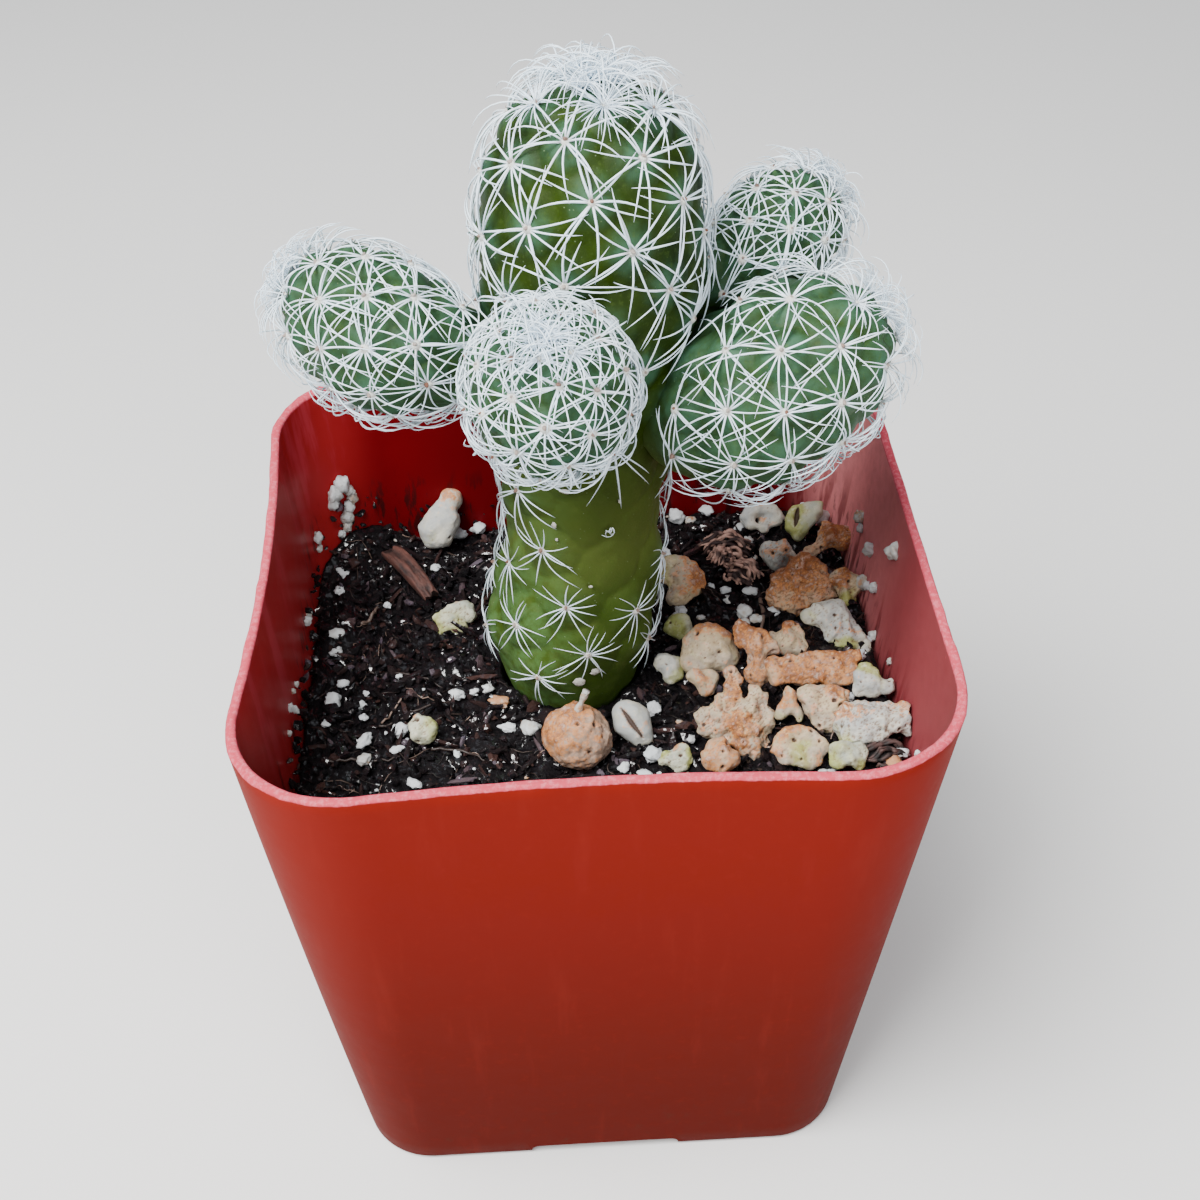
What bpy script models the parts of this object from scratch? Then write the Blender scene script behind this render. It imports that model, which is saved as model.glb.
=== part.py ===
"""Potted thimble cactus: a spiny stem with four offset heads in a square plastic pot.

Lengths are in metres, +Z is up, and the origin is the middle of the pot's base, on the
surface that the pot stands on. The front of the pot faces -Y. Every piece is one closed
body, and pieces that touch in life keep a small gap here.
"""
import math
from dataclasses import dataclass

import bmesh
import bpy
import numpy as np
from mathutils import Matrix, Vector
from mathutils.bvhtree import BVHTree

MM = 0.001
GAP = 0.3 * MM
GOLDEN_ANGLE = math.radians(137.508)

# Pot
POT_HEIGHT = 62.1 * MM
RIM_HALF = 32.0 * MM
RIM_CORNER = 12.5 * MM
BASE_HALF = 25.2 * MM
BASE_CORNER = 7.2 * MM
WALL = 0.9 * MM
FLOOR = 1.0 * MM
FOOT_EDGE = 0.5 * MM
CHANNEL_WIDTH = 15.5 * MM
CHANNEL_HEIGHT = 1.35 * MM
CHANNEL_ROUND = 0.8 * MM
RIDGE_WIDTH = CHANNEL_WIDTH + 2 * FLOOR
DRAIN_RADII = (4.0 * MM, 3.0 * MM)
DRAIN_REACH = 16.5 * MM
DRAIN_SEGMENTS = 14
PULL_LEFT = 2.1 * MM
PULL_DEPTH = 2.0 * MM
PULL_FROM = 0.6
PULL_AT_CORNER = math.cos(math.pi / 2 * (RIM_HALF - RIM_CORNER) / RIM_HALF)
POT_SHIFT = -0.5 * PULL_LEFT * PULL_AT_CORNER
WALL_LEVELS = (0.0, 0.25, 0.5, 0.75, 1.0)
CORNER_POINTS = 5
SIDE_POINTS = 5

# Soil
SOIL_LEVEL = 43.4 * MM
SOIL_RINGS = 10
SOIL_SIDE_LEVELS = (0.0, 0.34, 0.68, 1.0)
SOIL_ROUGHNESS = 0.35 * MM
SOIL_SIDE_GAP = 1.3 * GAP
HEAP_HEIGHT = 5.0 * MM
HEAP_CENTRE = (26.5 * MM, -10.0 * MM)
HEAP_SPREAD = (10.0 * MM, 16.0 * MM)
HOLLOW_DEPTH = 2.2 * MM
HOLLOW_CENTRE = (-22.5 * MM, 24.0 * MM)
HOLLOW_SPREAD = 9.0 * MM
SEAT_PRESS = 0.22
SEAT_REACH = 1.3

# Main stem: height, centre x and radius from the buried root to the top
STEM_Y = 4.8 * MM
STEM_LINE = (
    (30.0, -1.1, 0.0), (31.2, -1.2, 2.4), (35.0, -1.4, 4.6), (40.0, -1.7, 6.3),
    (45.0, -1.8, 7.6), (51.0, -1.6, 8.3), (57.7, -0.5, 7.7), (63.8, -0.2, 7.3),
    (72.0, 0.3, 8.0), (80.0, 0.7, 9.0), (87.5, 1.1, 9.5), (94.0, 1.1, 9.4),
    (98.5, 1.3, 8.6), (101.5, 1.4, 7.2), (103.5, 1.5, 5.1), (104.6, 1.6, 2.6),
    (104.9, 1.6, 0.0),
)
LOWEST_AREOLE = 47.0 * MM

# Share of an offset head's length and of its radius, from the neck to the top
OFFSET_LINE = (
    (0.0, 0.0), (0.01, 0.36), (0.10, 0.68), (0.28, 0.94), (0.50, 1.0), (0.70, 0.93),
    (0.86, 0.71), (0.96, 0.40), (1.0, 0.0),
)
NECK_SHARE = 0.35
NECK_SINK = 1.0 * MM
BARE_SHARE = 0.12
LINE_STEPS = 240

# Tubercles and spines
TUBERCLE_HEIGHT = 0.7 * MM
TUBERCLE_SHARE = 0.42
SPINE_RISE = math.radians(8.0)
SPINE_RISE_STEPS = (0.0, math.radians(12.0), math.radians(26.0), math.radians(42.0))
SPINE_RADIUS = 0.17 * MM
SPINE_ROOT_DEPTH = 0.32 * MM
SPINE_ROOT_OFFSET = 0.3 * MM
SPINE_CLEARANCE = 0.45 * MM
CROWN_SPINES = 5
SPINE_SAMPLES = 24
CROWN_RISE = math.radians(52.0)
CROWN_SHARE = 0.5

MATERIALS = {
    "pot_plastic": ((0.36, 0.040, 0.028), 0.38),
    "soil": ((0.018, 0.013, 0.010), 0.95),
    "cactus": ((0.30, 0.42, 0.20), 0.55),
    "tan_granule": ((0.62, 0.40, 0.22), 0.85),
    "white_granule": ((0.72, 0.70, 0.62), 0.85),
    "bark": ((0.13, 0.045, 0.025), 0.80),
}


@dataclass(frozen=True)
class Head:
    """One body of the cactus, as rows of ring centres and radii from root to top."""

    name: str
    centres: np.ndarray
    radii: np.ndarray
    along: np.ndarray
    side: np.ndarray
    cell: float
    young: float
    phase: float
    hand: int
    spine: float
    spines: int
    columns: int
    rows: int
    lowest: float


@dataclass(frozen=True)
class Granule:
    """A loose grain on the soil: place, width, depth and height in millimetres."""

    name: str
    place: tuple
    size: tuple
    turn: float = 0.0
    slot: str = "tan_granule"
    roughness: float = 0.07


GRANULES = (
    Granule("curled_shell", (20.4, 24.2), (3.9, 2.5, 2.4), 10, "white_granule"),
    Granule("green_curl", (24.4, 21.6), (3.4, 3.0, 3.2), 60, "white_granule"),
    Granule("orange_lump", (26.4, 17.6), (4.4, 2.6, 2.6), 20),
    Granule("dull_lump", (21.0, 16.0), (3.2, 2.7, 2.4)),
    Granule("boulder", (22.2, 9.8), (5.5, 4.8, 4.6), 20, roughness=0.06),
    Granule("boulder_neighbour", (26.8, 9.2), (2.5, 3.3, 3.1), -10),
    Granule("cream_nugget", (10.5, 13.8), (3.8, 4.4, 4.2), 25),
    Granule("lobed_white", (24.5, 2.2), (4.2, 4.0, 4.0), -30, "white_granule", 0.10),
    Granule("broad_disc", (12.1, 1.9), (5.2, 4.4, 4.4), 12, roughness=0.05),
    Granule("upright_slab", (16.4, -1.0), (3.6, 5.0, 5.0), -8, roughness=0.09),
    Granule("wedge", (20.1, 1.4), (3.5, 2.8, 3.0), 30, roughness=0.10),
    Granule("long_bar", (21.4, -4.9), (8.6, 3.1, 3.2), -2, roughness=0.06),
    Granule("small_nugget", (10.7, -2.6), (2.9, 2.4, 2.5), 35),
    Granule("grey_nugget", (7.8, 0.4), (2.6, 2.3, 2.4), 0, "white_granule"),
    Granule("lobed_cluster", (13.3, -9.0), (6.6, 6.2, 5.8), 20, roughness=0.12),
    Granule("spike", (18.5, -8.9), (2.3, 2.4, 3.8), 0),
    Granule("right_lump", (22.2, -9.8), (4.4, 3.2, 3.2), 10),
    Granule("right_white", (27.0, -7.0), (3.2, 2.8, 3.0), 0, "white_granule", 0.10),
    Granule("right_disc", (26.0, -12.9), (5.4, 4.6, 3.8), -12, "white_granule"),
    Granule("front_shell", (18.9, -14.4), (5.2, 3.3, 3.2), 5, roughness=0.05),
    Granule("small_ball", (11.4, -14.0), (3.5, 3.3, 3.3), 0, roughness=0.04),
    Granule("green_front", (7.4, -12.0), (3.3, 2.5, 2.4), 20, "white_granule", 0.10),
    Granule("green_right", (22.8, -16.9), (3.2, 2.4, 2.4), 0, "white_granule"),
    Granule("pale_grooved", (3.8, -7.1), (3.4, 3.8, 3.4), 15, "white_granule", 0.05),
    Granule("round_ball", (-1.7, -8.9), (6.9, 6.7, 6.4), 0, roughness=0.02),
    Granule("green_nugget", (9.5, 6.6), (2.6, 3.0, 2.8), -20, "white_granule"),
    Granule("back_lump", (-15.3, 26.2), (3.9, 3.5, 4.6), 0, "white_granule"),
    Granule("left_flake", (-13.9, 11.4), (3.7, 2.4, 1.8), 20, "white_granule"),
    Granule("left_crumb", (-16.5, -5.6), (2.2, 2.8, 2.3), 0, "white_granule", 0.10),
    Granule("bark_clump", (15.7, 19.6), (6.0, 3.6, 3.2), -20, "bark", 0.13),
)
BARK_CHIP_PLACE = (-18.7 * MM, 19.6 * MM)
BARK_CHIP_SIZE = (2.6 * MM, 10.0 * MM, 1.3 * MM)
BARK_CHIP_TURN = math.radians(28.0)
BARK_CHIP_TAPER = 0.55
BARK_CHIP_BOW = 0.35
LUMP_WAVES = 5
LUMP_FREQUENCY = 1.9
DROP_HEIGHT = 90 * MM


def clear_scene():
    """Start from an empty scene."""
    for item in list(bpy.data.objects):
        bpy.data.objects.remove(item, do_unlink=True)


def material(slot):
    """The plain Principled material of one slot."""
    found = bpy.data.materials.get(slot)
    if found:
        return found
    colour, roughness = MATERIALS[slot]
    made = bpy.data.materials.new(slot)
    made.use_nodes = True
    shader = made.node_tree.nodes["Principled BSDF"]
    shader.inputs["Base Color"].default_value = (*colour, 1.0)
    shader.inputs["Roughness"].default_value = roughness
    shader.inputs["Metallic"].default_value = 0.0
    return made


def new_object(name, points, faces, slot=None):
    """Link an object made of points and faces."""
    mesh = bpy.data.meshes.new(name)
    mesh.from_pydata([tuple(map(float, p)) for p in points], [], [tuple(map(int, f)) for f in faces])
    mesh.update()
    made = bpy.data.objects.new(name, mesh)
    bpy.context.scene.collection.objects.link(made)
    if slot:
        mesh.materials.append(material(slot))
    return made


def tool_object(name, bm):
    """Link an object made from an edited mesh, for use as a Boolean tool."""
    mesh = bpy.data.meshes.new(name)
    bm.to_mesh(mesh)
    bm.free()
    made = bpy.data.objects.new(name, mesh)
    bpy.context.scene.collection.objects.link(made)
    return made


def ring_faces(rings, count, first=0):
    """Triangles between successive rings of count points, counterclockwise seen from outside."""
    faces = []
    for ring in range(rings - 1):
        low, high = first + ring * count, first + (ring + 1) * count
        for i in range(count):
            j = (i + 1) % count
            faces.append((low + i, low + j, high + j))
            faces.append((low + i, high + j, high + i))
    return faces


def apply_boolean(target, operation, tools):
    """Cut or join the tools into the target by one exact Boolean, and delete them."""
    group = bpy.data.collections.new(target.name + "_tools")
    bpy.context.scene.collection.children.link(group)
    for tool in tools:
        tool.hide_render = True
        tool.display_type = "WIRE"
        group.objects.link(tool)
    step = target.modifiers.new("tools", "BOOLEAN")
    step.operation = operation
    step.solver = "EXACT"
    step.operand_type = "COLLECTION"
    step.collection = group
    graph = bpy.context.evaluated_depsgraph_get()
    result = bpy.data.meshes.new_from_object(target.evaluated_get(graph))
    target.modifiers.clear()
    plain, target.data = target.data, result
    bpy.data.meshes.remove(plain)
    for tool in tools:
        bpy.data.objects.remove(tool, do_unlink=True)
    bpy.data.collections.remove(group)


def surface_tree(*objects):
    """A search tree over the faces of some objects."""
    points, faces = [], []
    for item in objects:
        first = len(points)
        points.extend(vertex.co.copy() for vertex in item.data.vertices)
        faces.extend([first + i for i in face.vertices] for face in item.data.polygons)
    return BVHTree.FromPolygons(points, faces)


def smooth_line(points, steps=12):
    """Catmull-Rom curve through rows of numbers, with its ends kept."""
    rows = np.asarray(points, float)
    rows = np.vstack([2 * rows[0] - rows[1], rows, 2 * rows[-1] - rows[-2]])
    t = np.linspace(0.0, 1.0, steps, endpoint=False)[:, None]
    spans = []
    for a, b, c, d in zip(rows, rows[1:], rows[2:], rows[3:]):
        spans.append(0.5 * (2 * b + (c - a) * t + (2 * a - 5 * b + 4 * c - d) * t**2
                            + (3 * b - a - 3 * c + d) * t**3))
    return np.vstack(spans + [rows[-2]])


def spread_evenly(rows, count):
    """The same line with count rows evenly spaced by length."""
    steps = np.linalg.norm(np.diff(rows, axis=0), axis=1)
    travel = np.concatenate([[0.0], np.cumsum(steps)])
    wanted = np.linspace(0.0, travel[-1], count)
    return np.column_stack([np.interp(wanted, travel, column) for column in rows.T])


# Pot

def pot_outline(level, inset=0.0):
    """Rounded square at a share of the pot's height, with its sides pulled in.

    The left, front and back sides bend inwards by a cosine across their whole width,
    which fades downwards with the square of the height. The right side stays straight,
    so the pot is shifted to keep the middle of its rim on the origin.
    """
    half = BASE_HALF + (RIM_HALF - BASE_HALF) * level
    corner = BASE_CORNER + (RIM_CORNER - BASE_CORNER) * level
    reach = half - corner
    points = []
    for side in range(4):
        turn = side * math.pi / 2
        out = Vector((math.cos(turn), math.sin(turn)))
        along = Vector((-out.y, out.x))
        for step in range(SIDE_POINTS):
            share = 2 * step / SIDE_POINTS - 1
            points.append(out * (half - inset) + along * reach * share)
        for step in range(CORNER_POINTS):
            angle = turn + math.pi / 2 * step / CORNER_POINTS
            arc = Vector((math.cos(angle), math.sin(angle)))
            points.append((out + along) * reach + arc * (corner - inset))
    for p in points:
        pull_x = math.cos(math.pi / 2 * max(-1.0, min(1.0, p.y / half))) * level**2
        pull_y = math.cos(math.pi / 2 * max(-1.0, min(1.0, p.x / half))) * level**2
        if p.x < -PULL_FROM * half:
            p.x += PULL_LEFT * pull_x
        if abs(p.y) > PULL_FROM * half:
            p.y -= math.copysign(PULL_DEPTH, p.y) * pull_y
        p.x += POT_SHIFT
    return points


def channel_bars(name, width, bottom, top, reach):
    """Two crossed bars with rounded top edges, along X and Y, under the pot."""
    bars = []
    for turn in (0.0, math.pi / 2):
        bm = bmesh.new()
        bmesh.ops.create_cube(bm, size=1.0)
        bmesh.ops.scale(bm, vec=(2 * reach, width, top - bottom), verts=bm.verts)
        bmesh.ops.translate(bm, vec=(0, 0, (top + bottom) / 2), verts=bm.verts)
        edges = [e for e in bm.edges if all(v.co.z > top - 0.01 * MM for v in e.verts)
                 and abs(e.verts[0].co.y - e.verts[1].co.y) < 0.01 * MM]
        bmesh.ops.bevel(bm, geom=edges, offset=CHANNEL_ROUND, segments=3, profile=0.5, affect="EDGES")
        bmesh.ops.rotate(bm, cent=(0, 0, 0), matrix=Matrix.Rotation(turn, 3, "Z"), verts=bm.verts)
        bmesh.ops.translate(bm, vec=(POT_SHIFT, 0, 0), verts=bm.verts)
        bars.append(tool_object(name, bm))
    return bars


def drain_cutters():
    """One round hole in the middle of the floor and one in each arm of the channel."""
    places = [(0.0, 0.0, DRAIN_RADII[0])]
    for turn in range(4):
        angle = turn * math.pi / 2
        places.append((DRAIN_REACH * math.cos(angle), DRAIN_REACH * math.sin(angle), DRAIN_RADII[1]))
    cutters = []
    for x, y, radius in places:
        bm = bmesh.new()
        bmesh.ops.create_cone(bm, cap_ends=True, segments=DRAIN_SEGMENTS, radius1=radius, radius2=radius,
                              depth=2 * (CHANNEL_HEIGHT + FLOOR))
        bmesh.ops.translate(bm, vec=(x + POT_SHIFT, y, CHANNEL_HEIGHT + FLOOR), verts=bm.verts)
        cutters.append(tool_object("drain", bm))
    return cutters


def make_pot():
    """Thin square pot on four corner feet, with a crossed drain channel under it."""
    rings = [[(p.x, p.y, 0.0) for p in pot_outline(0.0, FOOT_EDGE)]]
    for level in WALL_LEVELS:
        height = max(level * POT_HEIGHT, FOOT_EDGE)
        rings.append([(p.x, p.y, height) for p in pot_outline(level)])
    for level in reversed(WALL_LEVELS):
        height = max(level * POT_HEIGHT, FLOOR)
        rings.append([(p.x, p.y, height) for p in pot_outline(level, WALL)])
    count = len(rings[0])
    points = [p for ring in rings for p in ring]
    faces = ring_faces(len(rings), count)
    faces.append(tuple(reversed(range(count))))
    faces.append(tuple(range(len(points) - count, len(points))))
    pot = new_object("pot", points, faces, "pot_plastic")
    ridge_top = CHANNEL_HEIGHT + FLOOR
    apply_boolean(pot, "UNION", channel_bars("ridge", RIDGE_WIDTH, 0.5 * FLOOR, ridge_top,
                                             BASE_HALF - 0.5 * WALL))
    apply_boolean(pot, "DIFFERENCE", channel_bars("channel", CHANNEL_WIDTH, -CHANNEL_HEIGHT, CHANNEL_HEIGHT,
                                                  RIM_HALF))
    apply_boolean(pot, "DIFFERENCE", drain_cutters())
    return pot


# Soil

def ripple(x, y):
    """A fixed pattern of small bumps, about one unit high."""
    u, v = x / MM, y / MM
    return (np.sin(0.61 * u + 1.3 * np.sin(0.37 * v)) * np.cos(0.53 * v - 0.8 * np.sin(0.29 * u))
            + 0.5 * np.sin(1.31 * u + 0.9 * v) * np.cos(1.17 * v - 0.4 * u))


def ground(x, y):
    """Height of the soil: level ground, a heap at the right and a hollow at the back left."""
    heap = np.exp(-(((x - HEAP_CENTRE[0]) / HEAP_SPREAD[0]) ** 2
                    + ((y - HEAP_CENTRE[1]) / HEAP_SPREAD[1]) ** 2) / 2)
    hollow = np.exp(-((x - HOLLOW_CENTRE[0]) ** 2 + (y - HOLLOW_CENTRE[1]) ** 2)
                    / (2 * HOLLOW_SPREAD**2))
    return SOIL_LEVEL + HEAP_HEIGHT * heap - HOLLOW_DEPTH * hollow + SOIL_ROUGHNESS * ripple(x, y)


def seat_depth(x, y):
    """How far each loose grain has pressed the soil down under itself."""
    depth = 0.0
    for grain in GRANULES:
        cx, cy = (v * MM for v in grain.place)
        radius = 0.5 * MM * math.sqrt(grain.size[0] * grain.size[1])
        press = SEAT_PRESS * grain.size[2] * MM
        share = ((x - cx) ** 2 + (y - cy) ** 2) / (SEAT_REACH * radius) ** 2
        depth = np.maximum(depth, press * np.exp(-(share**2)))
    return depth


def soil_height(x, y):
    """The soil's top, with the dents under its grains."""
    return ground(x, y) - seat_depth(x, y)


def make_soil():
    """A block of soil that fills the pot to below its rim, with an uneven top."""
    count = 4 * (SIDE_POINTS + CORNER_POINTS)
    bottom = FLOOR + GAP
    top = []
    for i in range(count):
        height = SOIL_LEVEL
        for _ in range(4):
            p = pot_outline(height / POT_HEIGHT, WALL + SOIL_SIDE_GAP)[i]
            height = float(soil_height(p.x, p.y))
        top.append((p.x, p.y, height))
    rings = []
    for share in SOIL_SIDE_LEVELS[:-1]:
        ring = []
        for i in range(count):
            height = bottom + share * (top[i][2] - bottom)
            p = pot_outline(height / POT_HEIGHT, WALL + SOIL_SIDE_GAP)[i]
            ring.append((p.x, p.y, height))
        rings.append(ring)
    rings.append(top)
    for ring in range(1, SOIL_RINGS):
        share = 1 - ring / SOIL_RINGS
        rings.append([(x * share, y * share, float(soil_height(x * share, y * share))) for x, y, _ in top])
    points = [p for ring in rings for p in ring]
    faces = ring_faces(len(rings), count)
    faces.append(tuple(reversed(range(count))))
    last = len(points) - count
    points.append((0.0, 0.0, float(soil_height(0.0, 0.0))))
    faces.extend((last + i, last + (i + 1) % count, len(points) - 1) for i in range(count))
    soil = new_object("soil", points, faces, "soil")
    apply_boolean(soil, "DIFFERENCE", channel_bars("groove", RIDGE_WIDTH + 2 * GAP, 0.0,
                                                   CHANNEL_HEIGHT + FLOOR + GAP, RIM_HALF))
    return soil


# Cactus heads

def make_stem_shape():
    """The main stem's centre line and radii."""
    rows = spread_evenly(smooth_line(STEM_LINE), LINE_STEPS) * MM
    centres = np.column_stack([rows[:, 1], np.full(len(rows), STEM_Y), rows[:, 0]])
    return Head("main_stem", centres, np.maximum(rows[:, 2], 0.0), np.array((0.0, 0.0, 1.0)),
                np.array((1.0, 0.0, 0.0)), cell=36.0 * MM**2, young=16.0, phase=math.radians(21.0), hand=1,
                spine=5.6 * MM, spines=4, columns=24, rows=31, lowest=LOWEST_AREOLE)


def make_offset_shape(stem, name, base, azimuth, elevation, length, radius, cell, young, phase, hand,
                      spine, columns, rows):
    """An offset head: a short round body whose neck bends in to the main stem."""
    heading, climb = math.radians(azimuth), math.radians(elevation)
    along = np.array((math.cos(heading) * math.cos(climb), math.sin(heading) * math.cos(climb), math.sin(climb)))
    side = np.cross((0.0, 0.0, 1.0), along)
    side /= np.linalg.norm(side)
    line = spread_evenly(smooth_line(OFFSET_LINE) * (length, radius), LINE_STEPS) * MM
    start = np.array(base) * MM
    axis = np.array([np.interp(start[2], stem.centres[:, 2], stem.centres[:, 0]), STEM_Y, start[2]])
    out = (start - axis) / np.linalg.norm(start - axis)
    stem_radius = np.interp(start[2], stem.centres[:, 2], stem.radii)
    root = axis + out * (stem_radius - NECK_SINK)
    travel = line[:, 0]
    bend = np.clip(1 - travel / (NECK_SHARE * length * MM), 0.0, 1.0) ** 2
    centres = start + travel[:, None] * along + bend[:, None] * (root - start)
    return Head(name, centres, np.maximum(line[:, 1], 0.0), along, side, cell * MM**2, young,
                math.radians(phase), hand, spine * MM, 3, columns, rows, BARE_SHARE * length * MM)


def make_shapes():
    """The five bodies of the cactus, the main stem first."""
    stem = make_stem_shape()
    return [
        stem,
        make_offset_shape(stem, "right_head", (7.4, -1.0, 73.1), 0.0, 38.0, 22.4, 7.7, cell=23.7, young=4,
                          phase=243, hand=-1, spine=5.2, columns=18, rows=16),
        make_offset_shape(stem, "front_head", (-2.5, -7.2, 80.6), 262.0, 63.0, 13.6, 6.6, cell=15.7,
                          young=16, phase=245, hand=-1, spine=4.4, columns=16, rows=13),
        make_offset_shape(stem, "left_head", (-10.5, -0.2, 81.1), 157.5, 26.0, 16.7, 6.3, cell=17.2,
                          young=9, phase=341, hand=1, spine=4.8, columns=16, rows=14),
        make_offset_shape(stem, "rear_head", (12.1, 8.0, 82.6), 32.0, 33.0, 14.6, 5.4, cell=12.4,
                          young=9, phase=283, hand=1, spine=4.4, columns=16, rows=13),
    ]


def head_directions(head, angles):
    """Unit vectors square to the head's axis, at some angles round it."""
    across = np.cross(head.along, head.side)
    return np.cos(angles)[..., None] * head.side + np.sin(angles)[..., None] * across


def head_travel(head):
    """Distance of each ring centre along the head's axis."""
    return (head.centres - head.centres[0]) @ head.along


def areole_points(head):
    """Areoles wound at the golden angle, each with an equal share of the skin.

    Counted from the top, the k-th areole stands where the skin above it holds
    k * k / (k + young) cells, so that the youngest ones crowd together.
    """
    travel = head_travel(head)[::-1]
    radii = head.radii[::-1]
    skin = np.hypot(np.diff(travel), np.diff(radii)) * math.pi * (radii[1:] + radii[:-1])
    cells = np.concatenate([[0.0], np.cumsum(skin)]) / head.cell
    k = np.arange(400) + 0.5
    wanted = k * k / (k + head.young)
    k, wanted = k[wanted < cells[-1]], wanted[wanted < cells[-1]]
    place = np.interp(wanted, cells, travel)
    floor = head.lowest - head.centres[0][2] if head.name == "main_stem" else head.lowest
    k, place = k[place > floor], place[place > floor]
    rise, radius = head_travel(head), head.radii
    centres = np.column_stack([np.interp(place, rise, column) for column in head.centres.T])
    slope = np.interp(place, rise, np.gradient(radius, rise + 1e-9 * np.arange(len(rise))))
    out = head_directions(head, head.phase + head.hand * k * GOLDEN_ANGLE)
    points = centres + out * np.interp(place, rise, radius)[:, None]
    normals = out - slope[:, None] * head.along
    return points, normals / np.linalg.norm(normals, axis=1)[:, None]


def head_mesh(head, name, slot=None, grow=0.0):
    """The head's skin with low tubercles round its areoles, grown outwards if asked."""
    line = np.column_stack([head.centres, head.radii])
    line = spread_evenly(line, head.rows)
    rise = (line[:, :3] - line[0, :3]) @ head.along
    angles = np.arange(head.columns) * 2 * math.pi / head.columns
    out = head_directions(head, angles)
    inner = line[1:-1]
    slope = np.gradient(line[:, 3], rise)[1:-1]
    points = inner[:, None, :3] + out[None] * inner[:, None, 3:4]
    normals = out[None] - slope[:, None, None] * head.along
    normals /= np.linalg.norm(normals, axis=2)[..., None]
    peaks, _ = areole_points(head)
    reach = TUBERCLE_SHARE * math.sqrt(head.cell)
    distance = np.linalg.norm(points[:, :, None] - peaks[None, None], axis=3).min(axis=2)
    bump = TUBERCLE_HEIGHT * (np.exp(-((distance / reach) ** 2)) - 0.5) + grow
    points = (points + normals * bump[..., None]).reshape(-1, 3)
    root = line[0, :3] - head.along * grow
    top = line[-1, :3] + head.along * (grow + 0.5 * TUBERCLE_HEIGHT)
    rings, count = head.rows - 2, head.columns
    points = np.vstack([points, root, top])
    faces = ring_faces(rings, count)
    faces.extend(((i + 1) % count, i, len(points) - 2) for i in range(count))
    last = (rings - 1) * count
    faces.extend((last + i, last + (i + 1) % count, len(points) - 1) for i in range(count))
    return new_object(name, points, faces, slot)


def spine_fan(name, needles):
    """Slim three-sided needles that run from buried roots to sharp tips."""
    points, faces = [], []
    for root, tip in needles:
        run = (tip - root).normalized()
        side = run.orthogonal().normalized()
        first = len(points)
        for step in range(3):
            points.append(root + Matrix.Rotation(step * 2 * math.pi / 3, 3, run) @ side * SPINE_RADIUS)
        points.append(tip)
        faces.append((first + 2, first + 1, first))
        faces.extend((first + i, first + (i + 1) % 3, first + 3) for i in range(3))
    return new_object(name, points, faces)


def outside_by(point, tree, margin):
    """True where a point is outside a closed surface by more than the margin."""
    nearest, normal, _, distance = tree.find_nearest(point)
    return distance > margin and (point - nearest).dot(normal) > 0


def needle_line(root, tip):
    """Points evenly spaced along a needle."""
    return np.array(root) + np.linspace(0.0, 1.0, SPINE_SAMPLES)[:, None] * np.array(tip - root)


def needle_is_clear(root, tip, trees, others):
    """True where a needle keeps its distance from the other pieces and their needles."""
    samples = [root.lerp(tip, share) for share in np.linspace(0.12, 1.0, 7)]
    if not all(outside_by(p, tree, SPINE_CLEARANCE) for p in samples for tree in trees):
        return False
    if len(others) == 0:
        return True
    return np.linalg.norm(needle_line(root, tip)[:, None] - others[None], axis=2).min() > SPINE_CLEARANCE


def grow_spines(head, body, trees, others):
    """Join a fan of needles to the skin at every areole that has room for it."""
    own = surface_tree(body)
    points, normals = areole_points(head)
    fans, kept = [], []
    for k, (point, normal) in enumerate(zip(points, normals)):
        normal = Vector(normal)
        hit, _, _, _ = own.ray_cast(Vector(point) + normal * 3 * MM, -normal, 6 * MM)
        if hit is None or not all(outside_by(hit, tree, 3 * SPINE_CLEARANCE) for tree in trees):
            continue
        first = normal.orthogonal().normalized()
        crown = k < CROWN_SPINES
        needles = []
        for step in range(head.spines):
            turn = step * 2 * math.pi / head.spines + k * GOLDEN_ANGLE
            ray = Matrix.Rotation(turn, 3, normal) @ first
            root = hit + ray * SPINE_ROOT_OFFSET - normal * SPINE_ROOT_DEPTH
            for lift in SPINE_RISE_STEPS:
                rise = (CROWN_RISE if crown else SPINE_RISE) + lift
                length = head.spine * (CROWN_SHARE if crown else 1.0)
                tip = hit + (ray * math.cos(rise) + normal * math.sin(rise)) * length
                if needle_is_clear(root, tip, trees, others):
                    needles.append((root, tip))
                    kept.append(needle_line(root, tip))
                    break
        if needles:
            fans.append(spine_fan("fan", needles))
    apply_boolean(body, "UNION", fans)
    return np.vstack(kept)


def make_cactus(soil, pot, grains):
    """Five heads: dents where they press together, a hole in the soil, then the spines."""
    shapes = make_shapes()
    stem = shapes[0]
    bodies = [head_mesh(shape, shape.name, "cactus") for shape in shapes]
    apply_boolean(soil, "DIFFERENCE", [head_mesh(stem, "root_hole", grow=GAP)])
    apply_boolean(bodies[0], "DIFFERENCE", [head_mesh(s, s.name + "_dent", grow=GAP) for s in shapes[1:]])
    apply_boolean(bodies[4], "DIFFERENCE", [head_mesh(shapes[1], "right_dent", grow=GAP)])
    trees = [surface_tree(body) for body in bodies]
    still = [surface_tree(soil), surface_tree(pot), surface_tree(*grains)]
    others = np.zeros((0, 3))
    for i, (shape, body) in enumerate(zip(shapes, bodies)):
        near = [tree for j, tree in enumerate(trees) if j != i] + still
        others = np.vstack([others, grow_spines(shape, body, near, others)])
    return bodies


# Loose grains

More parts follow.
